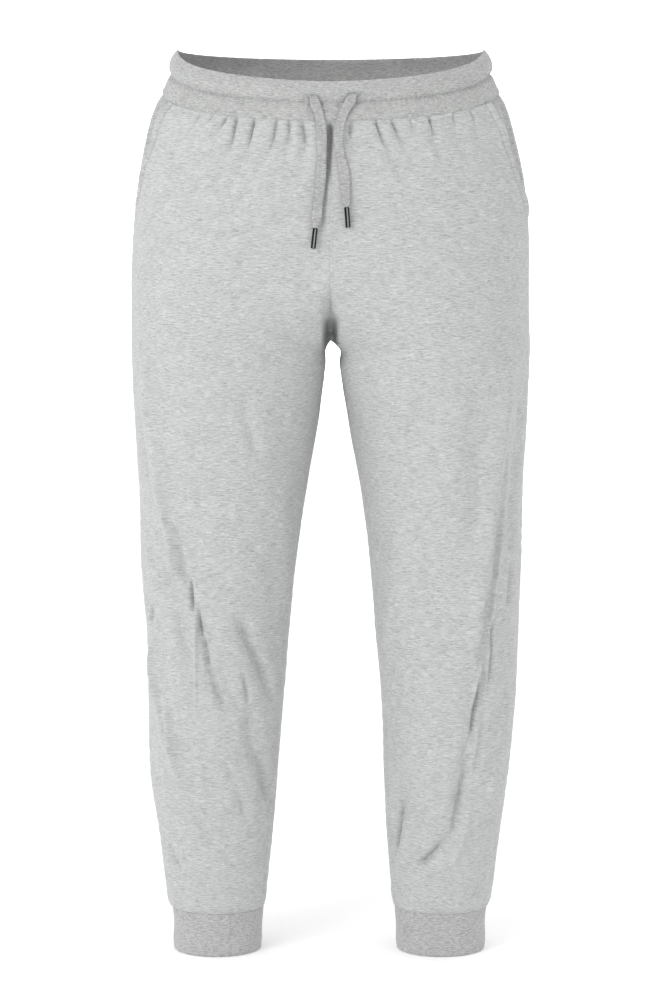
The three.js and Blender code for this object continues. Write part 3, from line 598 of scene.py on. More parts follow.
@dataclass(frozen=True)
class Form:
    """The cut's named sizes, the smooth filled-out surface, and all that lifts the cloth."""

    jersey_wall: float = 2.0
    side_waist_seam: float = -24.0
    front_seam_dip: float = 34.0
    back_seam_dip: float = 5.0
    crotch: float = -300.0
    cuff_seam: float = -953.0
    hem: float = -1003.0
    inseam_at_crotch: float = 180.0
    inseam_below: float = 160.0
    inseam_turn: float = 150.0
    pocket_curve: float = 0.5
    bridge_top: float = -220.0
    bridge_power: float = 0.5
    square_share: float = 0.5
    square_foot: float = -430.0
    cleft_top: float = -232.0
    cleft_lip: float = -262.0
    cleft_full: float = -290.0
    cleft_fade: float = 20.0
    cleft_shallow: float = 0.09
    cleft_share: float = 0.72
    cleft_width: float = 6.8
    cleft_point: float = 0.45
    cleft_spread: float = 3.5
    cleft_powers: tuple[float, float] = (2.0, 4.0)
    seat_cleft: float = 0.4
    calm_width: float = 8.0
    plane_width: float = 4.0
    plane_blend: float = 3.0
    turn_step: float = 0.5
    height_step: float = 0.6
    puff_rise: float = 2.6
    puff_peak: float = 14.0
    puff_reach: float = 95.0
    fold_end: float = 0.3
    fold_gain: float = 1.3
    crease_gain: float = 1.75
    trough_reach: float = 2.4
    trough_share: float = 0.95
    trough_width: float = 1.5
    trough_limit: float = 7.0
    held_share: float = 0.25
    held_drop: float = 5.0
    tick_reach: float = 0.75
    tick_width: float = 1.4
    tick_share: float = 1.5
    wrinkle: float = 0.3
    wrinkle_top: float = -380.0
    wrinkle_full: float = -560.0
    soft_drop: float = 9.0
    hollow_depth: float = 10.0
    hollow_width: float = 3.6
    hollow_drift: float = -11.0
    hollow_run: float = 120.0
    hollow_start: float = 8.0
    hollow_ease: float = 0.6
    hollow_eased: tuple[float, float] = (20.0, 80.0)
    hollow_fade: float = 84.0
    hollow_end: float = 134.0

    def side_seam(self, side: Side) -> float:
        """Return the angle of the side seam."""
        return 7.0 if side is Side.LEFT else 4.0

    def pocket_top(self, side: Side) -> float:
        """Return the angle where the pocket opening meets the waist seam."""
        return 27.0 if side is Side.LEFT else 24.0

    def pocket_foot(self, side: Side) -> float:
        """Return the height of the pocket opening's lower end."""
        return -166.0 if side is Side.LEFT else -152.0

    def section(self, name: str, height: Array) -> Array:
        """Read one column of the sections, smoothly, at some heights."""
        table = columns(SECTION_COLUMNS, SECTION_ROWS)
        return hermite(-table["height"], table[name], -np.asarray(height, dtype=float))

    def ring(self, side: Side, height: Array) -> tuple[Array, Array, Array, Array]:
        """Return the centre, half width, front depth and back depth of a leg's ellipse."""
        outer = self.section(f"out_{side.value}", height)
        inner = self.section(f"in_{side.value}", height)
        front, back = self.section("front", height), self.section("back", height)
        return (outer + inner) / 2, (outer - inner) / 2, front, back

    def degree_length(self, side: Side, height: Array, angle: Array) -> Array:
        """Return how many millimetres one degree goes round the ellipse."""
        _, reach, front, back = self.ring(side, height)
        turn = np.radians(angle)
        depth = np.where(np.sin(turn) > 0, front, back)
        return np.radians(np.hypot(reach * np.sin(turn), depth * np.cos(turn)))

    def inner_angle(self, side: Side, face: Face, height: Array) -> Array:
        """Return the angle, above zero, of the centre plane or, below the crotch, the inseam.

        On the plane it is the arc cosine of -centre / reach. The inseam turns from
        the innermost line to the front as smoothstep of the depth below the crotch.
        """
        centre, reach, _, _ = self.ring(side, height)
        turn = (self.inseam_at_crotch - self.inseam_below) * smoothstep(
            (self.crotch - height) / self.inseam_turn
        )
        inseam = self.inseam_at_crotch + (-turn if face is Face.FRONT else turn)
        plane = np.degrees(np.arccos(np.clip(-centre / reach, -1, 1)))
        return np.where(height > self.crotch, np.minimum(plane, inseam), inseam)

    def smooth(self, side: Side, angle: Array, height: Array) -> Array:
        """Return points of the unfolded surface.

        x is centre plus reach times the cosine, y is minus depth times the sine. On the
        inner half the section is squarer near the crotch, and in front the sine is drawn
        towards 1 above it, where the cloth bridges the legs. Along the centre the cleft's
        pinch, shallow at first and then deep, takes away a share of the depth.
        """
        centre, reach, front, back = self.ring(side, height)
        across, out = np.cos(np.radians(angle)), np.sin(np.radians(angle))
        x = centre + reach * across
        inner = np.clip(-across, 0, 1) ** 2
        square = self.square_share * climb(height, self.square_foot, self.crotch)
        rounded = np.abs(out) ** (1 - square * inner)
        bridge = climb(height, self.crotch, self.bridge_top) ** self.bridge_power
        full = np.sign(out) * mix(rounded, 1.0, np.where((across < 0) & (out > 0), bridge, 0.0))
        shallow = self.cleft_shallow * climb(height, self.cleft_top, self.cleft_lip)
        sunk = climb(height, self.cleft_lip, self.cleft_full)
        fade = 1 - smoothstep((self.crotch - height) / self.cleft_fade)
        depth_share = (shallow + self.cleft_share * sunk) * np.where(out > 0, 1.0, self.seat_cleft)
        width = self.cleft_width * mix(self.cleft_point, 1.0, sunk) + self.cleft_spread * (1 - sunk)
        power = mix(*self.cleft_powers, sunk)
        pinch = depth_share * fade * np.exp(-((np.abs(x) / width) ** power))
        depth = np.where(out > 0, front, back) * full * (1 - pinch)
        return np.stack([x, -depth, height + 0 * x], axis=-1)

    def outward(self, side: Side, angle: Array, height: Array) -> Array:
        """Return the outward direction: the cross product of the steps up and round."""
        turn, step = self.turn_step, self.height_step
        around = self.smooth(side, angle + turn, height) - self.smooth(side, angle - turn, height)
        up = self.smooth(side, angle, height + step) - self.smooth(side, angle, height - step)
        return unit(np.cross(up, around))

    def waist_seam(self, side: Side, angle: Array) -> Array:
        """Return the waist seam's height: a quarter sine from the side to the centre."""
        seam = self.side_seam(side)
        front = np.clip((angle - seam) / (90 - seam), 0, 1)
        back = np.clip((seam - angle) / (90 + seam), 0, 1)
        dip = self.front_seam_dip * np.sin(front * math.pi / 2)
        return self.side_waist_seam - dip - self.back_seam_dip * np.sin(back * math.pi / 2)

    def pocket_angle(self, side: Side, height: Array) -> Array:
        """Return the angle of the pocket opening's edge at some heights."""
        foot = self.pocket_foot(side)
        along = np.clip((height - foot) / (self.side_waist_seam - foot), 0, 1)
        return mix(self.side_seam(side), self.pocket_top(side), along**self.pocket_curve)

    def folds(self, side: Side, angle: Array, height: Array) -> Array:
        """Return the rise of all folds and creases.

        Each is a bell across its line, bent sideways by its bow, times smoothsteps that
        let it die away at both ends.
        """
        rise = np.zeros_like(height)
        for row in FOLD_ROWS[side] + CREASE_ROWS[side]:
            fold = dict(zip(FOLD_COLUMNS, row))
            middle = np.array((fold["height1"] + fold["height2"]) / 2)
            scale = self.degree_length(side, middle, np.array((fold["angle1"] + fold["angle2"]) / 2))
            turn = np.mod(angle - fold["angle1"] + 180, 360) - 180
            run_x = (fold["angle2"] - fold["angle1"]) * scale
            run_z = fold["height2"] - fold["height1"]
            length = np.hypot(run_x, run_z)
            at_x, at_z = turn * scale, height - fold["height1"]
            t = (at_x * run_x + at_z * run_z) / length**2
            across = (at_x * run_z - at_z * run_x) / length - fold["bow"] * 4 * t * (1 - t)
            width = fold["width"] * np.where(across > 0, 1 + fold["skew"], 1 - fold["skew"])
            ends = smoothstep(t / self.fold_end) * smoothstep((1 - t) / self.fold_end)
            gain = self.fold_gain if row in FOLD_ROWS[side] else self.crease_gain
            rise += gain * fold["rise"] * ends * bell(across, width)
        return rise

    def gathers(self, side: Side, face: Face, angle: Array, height: Array, drop: Array) -> Array:
        """Return the gathers' troughs: a long soft bell and a short sharp one for each.

        At the seam itself the stitches hold the cloth, so both start there a quarter deep.
        """
        rise = np.zeros_like(height)
        for row in GATHER_ROWS[(side, face)]:
            gather = dict(zip(GATHER_COLUMNS, row))
            line = mix(gather["top"], gather["foot"], np.clip(drop / gather["length"], 0, 1))
            across = (angle - line) * self.degree_length(side, height, np.full_like(height, gather["top"]))
            fade = 1 - smoothstep(drop / (self.trough_reach * gather["length"]))
            soft = fade * bell(across, gather["width"] * self.trough_width * (2 - fade))
            short = 1 - smoothstep(drop / (self.tick_reach * gather["length"]))
            sharp = short * bell(across, self.tick_width)
            rise -= gather["depth"] * (self.trough_share * soft + self.tick_share * sharp)
        held = mix(self.held_share, 1.0, smoothstep(drop / self.held_drop))
        return np.maximum(rise, -self.trough_limit) * held

    def softness(self, side: Side, angle: Array, height: Array) -> Array:
        """Return the unevenness of hanging jersey: crossed sines, with fine level ones in the legs."""
        shift = 0.7 if side is Side.LEFT else 2.1
        a, z = np.radians(angle), height / 100.0
        waves = np.zeros_like(a + z)
        for row in WAVE_ROWS:
            wave = dict(zip(WAVE_COLUMNS, row))
            first = np.sin(wave["round1"] * a + wave["up1"] * z + wave["shift1"] * shift)
            second = np.sin(wave["round2"] * a + wave["up2"] * z + wave["shift2"] * shift)
            waves += wave["rise"] * first * second
        legs = climb(height, self.wrinkle_top, self.wrinkle_full)
        wrinkle = np.sin(38 * z + 5 * a + 3 * np.sin(4 * a + 2.3 * z)) * np.sin(6 * a - 3.1 * z + shift)
        return waves + self.wrinkle * legs * wrinkle * np.abs(wrinkle)

    def cloth(self, side: Side, face: Face, angle: Array, height: Array) -> Array:
        """Return all that lifts the cloth off its smooth shape, calmed at the centre plane.

        At the centre front it sinks between the two drawstring ends, along the right one.
        """
        drop = self.waist_seam(side, angle) - height
        x = self.smooth(side, angle, height)[..., 0]
        swell = smoothstep(drop / self.puff_peak)
        swell = swell * (1 - smoothstep((drop - self.puff_peak) / self.puff_reach))
        rise = self.folds(side, angle, height) + self.puff_rise * swell
        rise += self.gathers(side, face, angle, height, drop)
        rise += self.softness(side, angle, height) * smoothstep(drop / self.soft_drop)
        rise = rise * (1 - bell(x, self.calm_width))
        if face is Face.BACK:
            return rise
        hollow = smoothstep(drop / self.hollow_start)
        hollow = hollow * (1 - self.hollow_ease * climb(drop, *self.hollow_eased))
        hollow = hollow * (1 - climb(drop, self.hollow_fade, self.hollow_end))
        across = (x if side is Side.LEFT else -x) - self.hollow_drift * drop / self.hollow_run
        return rise - self.hollow_depth * hollow * bell(across, self.hollow_width)

    def place(self, side: Side, angle: Array, height: Array, rise: Array) -> Array:
        """Return points at some rise off the smooth surface, turned over for the right side.

        Above the crotch, a point on the centre plane moves only within that plane, so that
        the two halves stay together however deep their seam lies.
        """
        points = self.smooth(side, angle, height)
        shift = self.outward(side, angle, height) * np.asarray(rise)[..., None]
        low, high = self.crotch - self.plane_blend, self.crotch + self.plane_blend
        held = bell(points[..., 0], self.plane_width) * climb(height, low, high)
        shift[..., 0] *= 1 - held
        points = points + shift
        points[..., 0] = np.maximum(points[..., 0], 0.0)
        return turn_over(side, points)


def turn_over(side: Side, points: Array) -> Array:
    """Return the points as they are on the left, or mirrored across the centre plane."""
    return points * np.array([1.0 if side is Side.LEFT else -1.0, 1.0, 1.0])


def girth(points: Array) -> Array:
    """Return the distance across each row of a grid, measured level."""
    step = np.linalg.norm(np.diff(points[..., :2], axis=1), axis=-1)
    return np.concatenate([np.zeros((len(points), 1)), np.cumsum(step, axis=1)], axis=1)


# Finishes


def linear(hex_colour: str) -> tuple[float, float, float, float]:
    """Turn an sRGB hex colour into the linear colour that a shader takes."""
    parts = [int(hex_colour.lstrip("#")[i : i + 2], 16) / 255 for i in (0, 2, 4)]
    red, green, blue = (p / 12.92 if p <= 0.04045 else ((p + 0.055) / 1.055) ** 2.4 for p in parts)
    return red, green, blue, 1.0


def new_finish(name: str) -> tuple[bpy.types.Material, bpy.types.NodeTree, bpy.types.Node]:
    """Return a new material with its node tree and its shader."""
    made = bpy.data.materials.new(name)
    made.use_nodes = True
    return made, made.node_tree, made.node_tree.nodes["Principled BSDF"]


def add_node(
    tree: bpy.types.NodeTree,
    kind: str,
    links: dict[str, bpy.types.NodeSocket] | None = None,
    inputs: dict[str, object] | None = None,
    **settings: object,
) -> bpy.types.Node:
    """Add a node with its settings, input values and incoming links.

    Args:
        tree: The node tree.
        kind: The node's type name.
        links: Sockets to link from, by the name of the input they reach.
        inputs: Plain values, by the name of the input.
        settings: The node's own properties.

    Returns:
        The new node.
    """
    node = tree.nodes.new(kind)
    for name, value in settings.items():
        setattr(node, name, value)
    for name, value in (inputs or {}).items():
        node.inputs[name].default_value = value
    for name, socket in (links or {}).items():
        tree.links.new(socket, node.inputs[name])
    return node


@dataclass(frozen=True)
class MarlJersey:
    """Marl jersey: undyed and grey fibres spun together, which show as level streaks."""

    name: str
    dark: str
    middle: str
    light: str
    streak_length: float = 9.5
    streak_depth: float = 1.1
    fleck_length: float = 3.8
    fleck_depth: float = 0.75
    relief: float = 0.9
    sheen: float = 0.2
    wander: float = 7.0
    relief_depth: float = 1.2
    # Feature sizes in millimetres, level and upright: broad mottle, knitted loops, wander
    mottle_size: tuple[float, float] = (30.0, 16.0)
    knit_size: tuple[float, float] = (0.9, 0.7)
    wander_size: tuple[float, float] = (34.0, 22.0)
    # How much streaks, flecks and mottle or knit count, and where the colours start and end
    tone_weights: tuple[float, float, float] = (0.52, 0.38, 0.1)
    relief_weights: tuple[float, float, float] = (0.5, 0.35, 0.15)
    tone_from: float = 0.39
    tone_to: float = 0.61

    def _noise(
        self, tree: bpy.types.NodeTree, place: bpy.types.NodeSocket, size: tuple[float, float], shift: float
    ) -> bpy.types.Node:
        """Return noise drawn out level, with features of a size in millimetres."""
        mapped = add_node(
            tree,
            "ShaderNodeMapping",
            {"Vector": place},
            {"Scale": (1 / (size[0] * MM), 1 / (size[1] * MM), 1.0), "Location": (shift, 1.7 * shift, 0.0)},
        )
        values = {"Scale": 1.0, "Detail": 3.0, "Roughness": 0.62, "Distortion": 0.4}
        return add_node(tree, "ShaderNodeTexNoise", {"Vector": mapped.outputs["Vector"]}, values)

    def _wandering(self, tree: bpy.types.NodeTree, uv: bpy.types.NodeSocket) -> bpy.types.NodeSocket:
        """Return the map pushed up and down by broad noise, so that no streak runs straight."""
        push = self._noise(tree, uv, self.wander_size, 5.3).outputs["Color"]
        level = add_node(tree, "ShaderNodeVectorMath", operation="SUBTRACT")
        tree.links.new(push, level.inputs[0])
        level.inputs[1].default_value = (0.5, 0.5, 0.5)
        sized = add_node(tree, "ShaderNodeVectorMath", operation="MULTIPLY")
        tree.links.new(level.outputs[0], sized.inputs[0])
        sized.inputs[1].default_value = (0.4 * self.wander * MM, self.wander * MM, 0.0)
        moved = add_node(tree, "ShaderNodeVectorMath", operation="ADD")
        tree.links.new(uv, moved.inputs[0])
        tree.links.new(sized.outputs[0], moved.inputs[1])
        return moved.outputs[0]

    def _blend(
        self, tree: bpy.types.NodeTree, parts: list[tuple[bpy.types.Node, float]]
    ) -> bpy.types.NodeSocket:
        """Return the weighted sum of some patterns."""
        total: bpy.types.NodeSocket | None = None
        for noise, weight in parts:
            step = add_node(tree, "ShaderNodeMath", operation="MULTIPLY_ADD")
            tree.links.new(noise.outputs["Fac"], step.inputs[0])
            step.inputs[1].default_value = weight
            step.inputs[2].default_value = 0.0
            if total is not None:
                tree.links.new(total, step.inputs[2])
            total = step.outputs[0]
        return total

    def material(self) -> bpy.types.Material:
        """Build the finish: streaks and flecks colour the cloth and give it a low relief."""
        made, tree, shader = new_finish(self.name)
        place = self._wandering(tree, add_node(tree, "ShaderNodeTexCoord").outputs["UV"])
        streak = self._noise(tree, place, (self.streak_length, self.streak_depth), 3.1)
        fleck = self._noise(tree, place, (self.fleck_length, self.fleck_depth), 9.7)
        mottle = self._noise(tree, place, self.mottle_size, 17.3)
        knit = self._noise(tree, place, self.knit_size, 29.0)
        tone = self._blend(tree, list(zip((streak, fleck, mottle), self.tone_weights)))
        ramp = add_node(tree, "ShaderNodeValToRGB", {"Fac": tone})
        ramp.color_ramp.elements[0].position = self.tone_from
        ramp.color_ramp.elements[0].color = linear(self.dark)
        ramp.color_ramp.elements[1].position = self.tone_to
        ramp.color_ramp.elements[1].color = linear(self.light)
        ramp.color_ramp.elements.new(0.5).color = linear(self.middle)
        relief = self._blend(tree, list(zip((streak, fleck, knit), self.relief_weights)))
        depth = {"Strength": self.relief, "Distance": self.relief_depth * MM}
        bump = add_node(tree, "ShaderNodeBump", {"Height": relief}, depth)
        tree.links.new(ramp.outputs["Color"], shader.inputs["Base Color"])
        tree.links.new(bump.outputs["Normal"], shader.inputs["Normal"])
        shader.inputs["Roughness"].default_value = 0.92
        shader.inputs["Specular IOR Level"].default_value = 0.2
        shader.inputs["Sheen Weight"].default_value = self.sheen
        shader.inputs["Sheen Roughness"].default_value = 0.5
        return made


@dataclass(frozen=True)
class SewingThread:
    """Matt grey thread, a touch lighter or darker than the jersey it is sewn into."""

    name: str
    colour: str
    twist: float = 0.15

    def material(self) -> bpy.types.Material:
        """Build the thread's finish, with the faint bands of its twist."""
        made, tree, shader = new_finish(self.name)
        place = add_node(tree, "ShaderNodeTexCoord").outputs["Object"]
        twist = add_node(tree, "ShaderNodeTexNoise", {"Vector": place}, {"Scale": 1400.0, "Detail": 1.0})
        ramp = add_node(tree, "ShaderNodeValToRGB", {"Fac": twist.outputs["Fac"]})
        base = np.array(linear(self.colour)[:3])
        for element, share in zip(ramp.color_ramp.elements, (1 - self.twist, 1 + self.twist)):
            element.color = [*np.minimum(base * share, 1.0).tolist(), 1.0]
        tree.links.new(ramp.outputs["Color"], shader.inputs["Base Color"])
        shader.inputs["Roughness"].default_value = 0.8
        return made


@dataclass(frozen=True)
class TipMetal:
    """Polished grey metal of a crimped cord tip, with painted shade in its groove and painted dark
    reflections along its sides.
    """

    name: str = "crimped_tip_metal"
    bright: str = "#7c7d80"
    # The colour of the painted shade and painted dark reflections
    dark: str = "#1d1d1f"

    def material(self) -> bpy.types.Material:
        """Build the finish: a point attribute paints shade into the groove and dark reflections along the
        sides.
        """
        made, tree, shader = new_finish(self.name)
        painted_shade_and_reflection = add_node(tree, "ShaderNodeAttribute", attribute_name="painted_shade_and_reflection")
        # Painted shade and reflection: the ramp runs from the metal's colour to near black as the attribute
        # rises
        ramp = add_node(tree, "ShaderNodeValToRGB", {"Fac": painted_shade_and_reflection.outputs["Fac"]})
        ramp.color_ramp.elements[0].color = linear(self.bright)
        ramp.color_ramp.elements[1].color = linear(self.dark)
        place = add_node(tree, "ShaderNodeTexCoord").outputs["Object"]
        grain = add_node(tree, "ShaderNodeTexNoise", {"Vector": place}, {"Scale": 900.0, "Detail": 2.0})
        rough = add_node(
            tree,
            "ShaderNodeMapRange",
            {"Value": grain.outputs["Fac"]},
            {"To Min": 0.22, "To Max": 0.42},
        )
        tree.links.new(ramp.outputs["Color"], shader.inputs["Base Color"])
        tree.links.new(rough.outputs["Result"], shader.inputs["Roughness"])
        shader.inputs["Metallic"].default_value = 1.0
        return made


@dataclass(frozen=True)
class StudioWhite:
    """Plain white paper of the floor and backdrop, which its own lamps lift to pure white."""

    name: str
    glow: float
    colour: str = "#f4f4f4"

    def material(self) -> bpy.types.Material:
        """Build a matt white with the faintest tooth of paper."""
        made, tree, shader = new_finish(self.name)
        place = add_node(tree, "ShaderNodeTexCoord").outputs["Object"]
        tooth = add_node(tree, "ShaderNodeTexNoise", {"Vector": place}, {"Scale": 300.0, "Detail": 2.0})
        height = {"Height": tooth.outputs["Fac"]}
        bump = add_node(tree, "ShaderNodeBump", height, {"Strength": 0.02, "Distance": 0.001})
        tree.links.new(bump.outputs["Normal"], shader.inputs["Normal"])
        shader.inputs["Base Color"].default_value = linear(self.colour)
        shader.inputs["Roughness"].default_value = 1.0
        shader.inputs["Specular IOR Level"].default_value = 0.0
        shader.inputs["Emission Color"].default_value = (1.0, 1.0, 1.0, 1.0)
        shader.inputs["Emission Strength"].default_value = self.glow
        return made


@dataclass(frozen=True)
class Wardrobe:
    """The finished materials, made once and shared by the pieces."""

    jersey: bpy.types.Material
    band: bpy.types.Material
    cuff: bpy.types.Material
    cord: bpy.types.Material
    thread: bpy.types.Material
    tip: bpy.types.Material

    @classmethod
    def sewn(cls) -> Wardrobe:
        """Make every material of the garment."""
        return cls(
            jersey=MarlJersey("marl_jersey", "#939594", "#abadac", "#bfc1c0").material(),
            band=MarlJersey("waistband_jersey", "#888988", "#a2a3a2", "#b8b9b8", 7.0, 1.1).material(),
            cuff=MarlJersey("cuff_jersey", "#878787", "#a2a2a2", "#b9b9b9", 6.0, 1.1, 2.8, 0.8).material(),
            cord=MarlJersey(
                "drawstring_jersey", "#848484", "#9c9c9c", "#b2b2b2", 7.0, 1.2, 3.0, 0.8
            ).material(),
            thread=SewingThread("grey_thread", "#a9abab").material(),
            tip=TipMetal().material(),
        )


# Stitching


@dataclass(frozen=True)
class StitchRow:
    """A row of short thread stitches that lie along a line on the cloth."""

    pitch: float = 3.4
    share: float = 0.74
    thread: float = 0.55
    end_share: float = 0.12
    proud: float = 0.3
    dip: float = 1.4
    sides: int = 5
    rings: int = 4

    def lay(self, line: Array, normal: Array) -> tuple[Array, IndexArray]:
        """Lay stitches along a line.

        Each stitch is a round bar that swells as the square root of a sine along its
        length and dips at both ends, where the thread goes down into the cloth.

        Args:
            line: Points along the row, in millimetres.
            normal: The cloth's outward direction at each point.

        Returns:
            The stitches' points, and their faces.
        """
        along = run_length(line)
        count = max(1, int(along[-1] / self.pitch))
        middle = (np.arange(count) + 0.5) * along[-1] / count
        reach = self.pitch * self.share / 2
        steps = np.linspace(-1, 1, self.rings)
        at = middle[:, None] + steps * reach
        spine = np.stack([np.interp(at, along, line[:, i]) for i in range(3)], axis=-1)
        up = unit(np.stack([np.interp(at, along, normal[:, i]) for i in range(3)], axis=-1))
        ahead = unit(np.gradient(spine, axis=1))
        side = unit(np.cross(ahead, up))
        radius = self.thread / 2 * np.sqrt(np.clip(1 - steps**2, self.end_share, 1))
        spine = spine + up * (self.thread * self.proud * (1 - self.dip * steps[:, None] ** 2))
        turn = circle_turns(self.sides)
        circle = np.cos(turn)[:, None] * side[:, :, None] + np.sin(turn)[:, None] * up[:, :, None]
        points = spine[:, :, None] + circle * radius[None, :, None, None]
        quads = tube_faces(self.rings, self.sides)[0]
        step = self.rings * self.sides
        faces = (quads[None] + (np.arange(count) * step)[:, None, None]).reshape(-1, 4)
        return points.reshape(-1, 3), faces[:, ::-1]


@dataclass
class Stitching:
    """All the thread of one sewn piece, joined into one mesh."""

    name: str
    parts: list[tuple[Array, IndexArray]] = field(default_factory=list)

    def add(self, row: StitchRow, line: Array, normal: Array) -> None:
        """Add one row of stitches."""
        self.parts.append(row.lay(line, normal))

    def build(self, wardrobe: Wardrobe, slot: str) -> bpy.types.Object:
        """Join the rows and dress them."""
        start = np.cumsum([0] + [len(p) for p, _ in self.parts])
        points = np.concatenate([p for p, _ in self.parts])
        faces = np.concatenate([f + s for (_, f), s in zip(self.parts, start)])
        made = make_mesh(self.name, points, [faces])
        dress(made, wardrobe.thread)
        return made


# Sub-assemblies


@dataclass(frozen=True)
class Panel:
    """A front or back leg panel, from the waist seam to the cuff seam."""

    form: Form
    side: Side
    face: Face
    gather_rows: int = 24
    rise_rows: int = 96
    leg_rows: int = 258
    tuck_rows: int = 12
    across: int = 198
    inner_step: int = 3
    gather_depth: float = 46.0
    tuck: float = 14.0
    crotch_lag: float = 60.0
    seam_groove: float = 0.9
    seam_width: float = 1.7
    crotch_groove: float = 0.15
    crotch_calm: tuple[float, float] = (8.0, 48.0)
    pucker_rise: float = 0.22
    pucker_reach: float = 7.0
    hem_width: float = 7.0
    hem_rise: float = 1.5
    hem_slope: float = 3.0
    gape_width: float = 12.0
    foot_ramp: float = 8.0
    # The two stitched rows sink the hem: how far from the edge, how deep and how wide
    hem_row: tuple[float, float, float] = (6.5, 1.1, 1.3)
    edge_row: tuple[float, float, float] = (1.8, 0.8, 1.1)
    edge_inset: float = 1.6
    centre_row: tuple[float, float] = (-150.0, -284.0)
    centre_inset: float = 3.0
    cuff_row: float = 2.2

    @property
    def sign(self) -> float:
        """Return 1 on the front and -1 on the back."""
        return 1.0 if self.face is Face.FRONT else -1.0

    def stations(self) -> tuple[Array, Array, Array, Array]:
        """Return each row's height at the side and at the inner edge, its bend and its drop."""
        form = self.form
        coarse = 1
        dip = form.front_seam_dip if self.face is Face.FRONT else form.back_seam_dip
        centre = form.side_waist_seam - dip
        drop = np.linspace(0, self.gather_depth, self.gather_rows // coarse + 1)

        def lagged(distance: Array | float) -> Array:
            """Return a distance that starts slowly, by the lag times an exponential."""
            return distance - self.crotch_lag * (1 - np.exp(-np.asarray(distance) / self.crotch_lag))

        at_side = form.side_waist_seam - self.gather_depth - form.crotch
        at_inner = centre - self.gather_depth - form.crotch
        share = np.arange(1, self.rise_rows // coarse + 1) / (self.rise_rows // coarse)
        left = at_side * (1 - share)
        rise_inner = form.crotch + lagged(left) * at_inner / lagged(at_side)
        leg = form.crotch - form.cuff_seam
        down = np.arange(1, self.leg_rows // coarse + 1) / (self.leg_rows // coarse) * (leg - self.tuck)
        last = leg - self.tuck * np.linspace(1, 0, self.tuck_rows + 1)[1:]
        down = np.concatenate([down, last])
        leg_inner = form.crotch - lagged(down) * leg / lagged(leg)
        tail = smoothstep((down - leg + 3 * self.tuck) / (2 * self.tuck))
        leg_inner = mix(leg_inner, form.crotch - down, tail)
        sides = np.concatenate([form.side_waist_seam - drop, form.crotch + left, form.crotch - down])
        inners = np.concatenate([centre - drop, rise_inner, leg_inner])
        bend = np.concatenate([0 * drop, share, np.ones_like(down)])
        drops = np.concatenate([drop, np.full(len(left) + len(down), np.nan)])
        return sides, inners, bend, drops

    def start_angle(self, height: Array) -> Array:
        """Return the angle where the panel starts: the side seam or the pocket's edge."""
        seam = np.full_like(height, self.form.side_seam(self.side))
        if self.face is Face.BACK:
            return seam
        above = height > self.form.pocket_foot(self.side)
        return np.where(above, np.maximum(seam, self.form.pocket_angle(self.side, height)), seam)

    def end_angle(self, height: Array) -> Array:
        """Return the angle of the panel's inner edge."""
        return self.sign * self.form.inner_angle(self.side, self.face, height)

    def row_height(self, rows: tuple[Array, Array, Array, Array], angle: Array, end: Array) -> Array:
        """Return a row's height at an angle.

        A gathered row keeps its drop below the waist seam. The others go from the side's
        height to the inner edge's by a blend of a quarter sine and a square.
        """
        at_side, at_inner, bend, drop = rows
        seam = self.form.side_seam(self.side)
        share = np.clip((angle - seam) / (end - seam), 0, 1)
        bent = mix(np.sin(share * math.pi / 2), share**2, bend)
        free = mix(at_side, at_inner, bent)
        gathered = self.form.waist_seam(self.side, angle) - np.nan_to_num(drop)
        return np.where(np.isnan(drop), free, gathered)

    def lift(self, angle: Array, height: Array) -> Array:
        """Return the outer face's rise: the cloth, its seams' grooves and its pocket hem."""
        form, side = self.form, self.side
        rise = form.cloth(side, self.face, angle, height)
        length = form.degree_length(side, height, angle)
        seam = form.side_seam(side)
        to_side = np.abs(angle - seam) * length
        to_inner = np.abs(self.end_angle(height) - angle) * length
        drop = form.waist_seam(side, angle) - height
        pucker = np.sin(height / 2.3) * np.exp(-to_inner / self.pucker_reach)
        pucker += np.sin(height / 2.7 + 1.0) * np.exp(-to_side / self.pucker_reach)
        off_crotch = climb(np.abs(height - form.crotch), *self.crotch_calm)
        pucker = self.pucker_rise * pucker * off_crotch
        groove = bell(to_inner, self.seam_width) * mix(self.crotch_groove, 1.0, off_crotch)
        groove = groove + 0.9 * bell(drop, 2.0) + 0.5 * bell(height - form.cuff_seam, 1.6)
        open_here = (height > form.pocket_foot(side)) & (self.face is Face.FRONT)
        groove = groove + np.where(open_here, 0.0, bell(to_side, self.seam_width))
        rise = rise + pucker * (1 - np.clip(groove, 0, 1)) - self.seam_groove * groove
        if self.face is Face.BACK:
            return rise
        away = (angle - form.pocket_angle(side, height)) * length
        gape = columns(GAPE_COLUMNS, GAPE_ROWS[side])
        wide = sum(r * bell(height - h, w) for h, w, r in zip(gape["height"], gape["reach"], gape["rise"]))
        hem = self.hem_rise * smoothstep((self.hem_width - away) / self.hem_slope)
        for place, depth, width in (self.hem_row, self.edge_row):
            hem = hem - depth * bell(away - place, width)
        near_foot = smoothstep((height - form.pocket_foot(side)) / self.foot_ramp)
        gaping = wide * np.exp(-np.maximum(away, 0) / self.gape_width)
        return rise + np.where(open_here, (gaping + hem) * near_foot, 0.0)

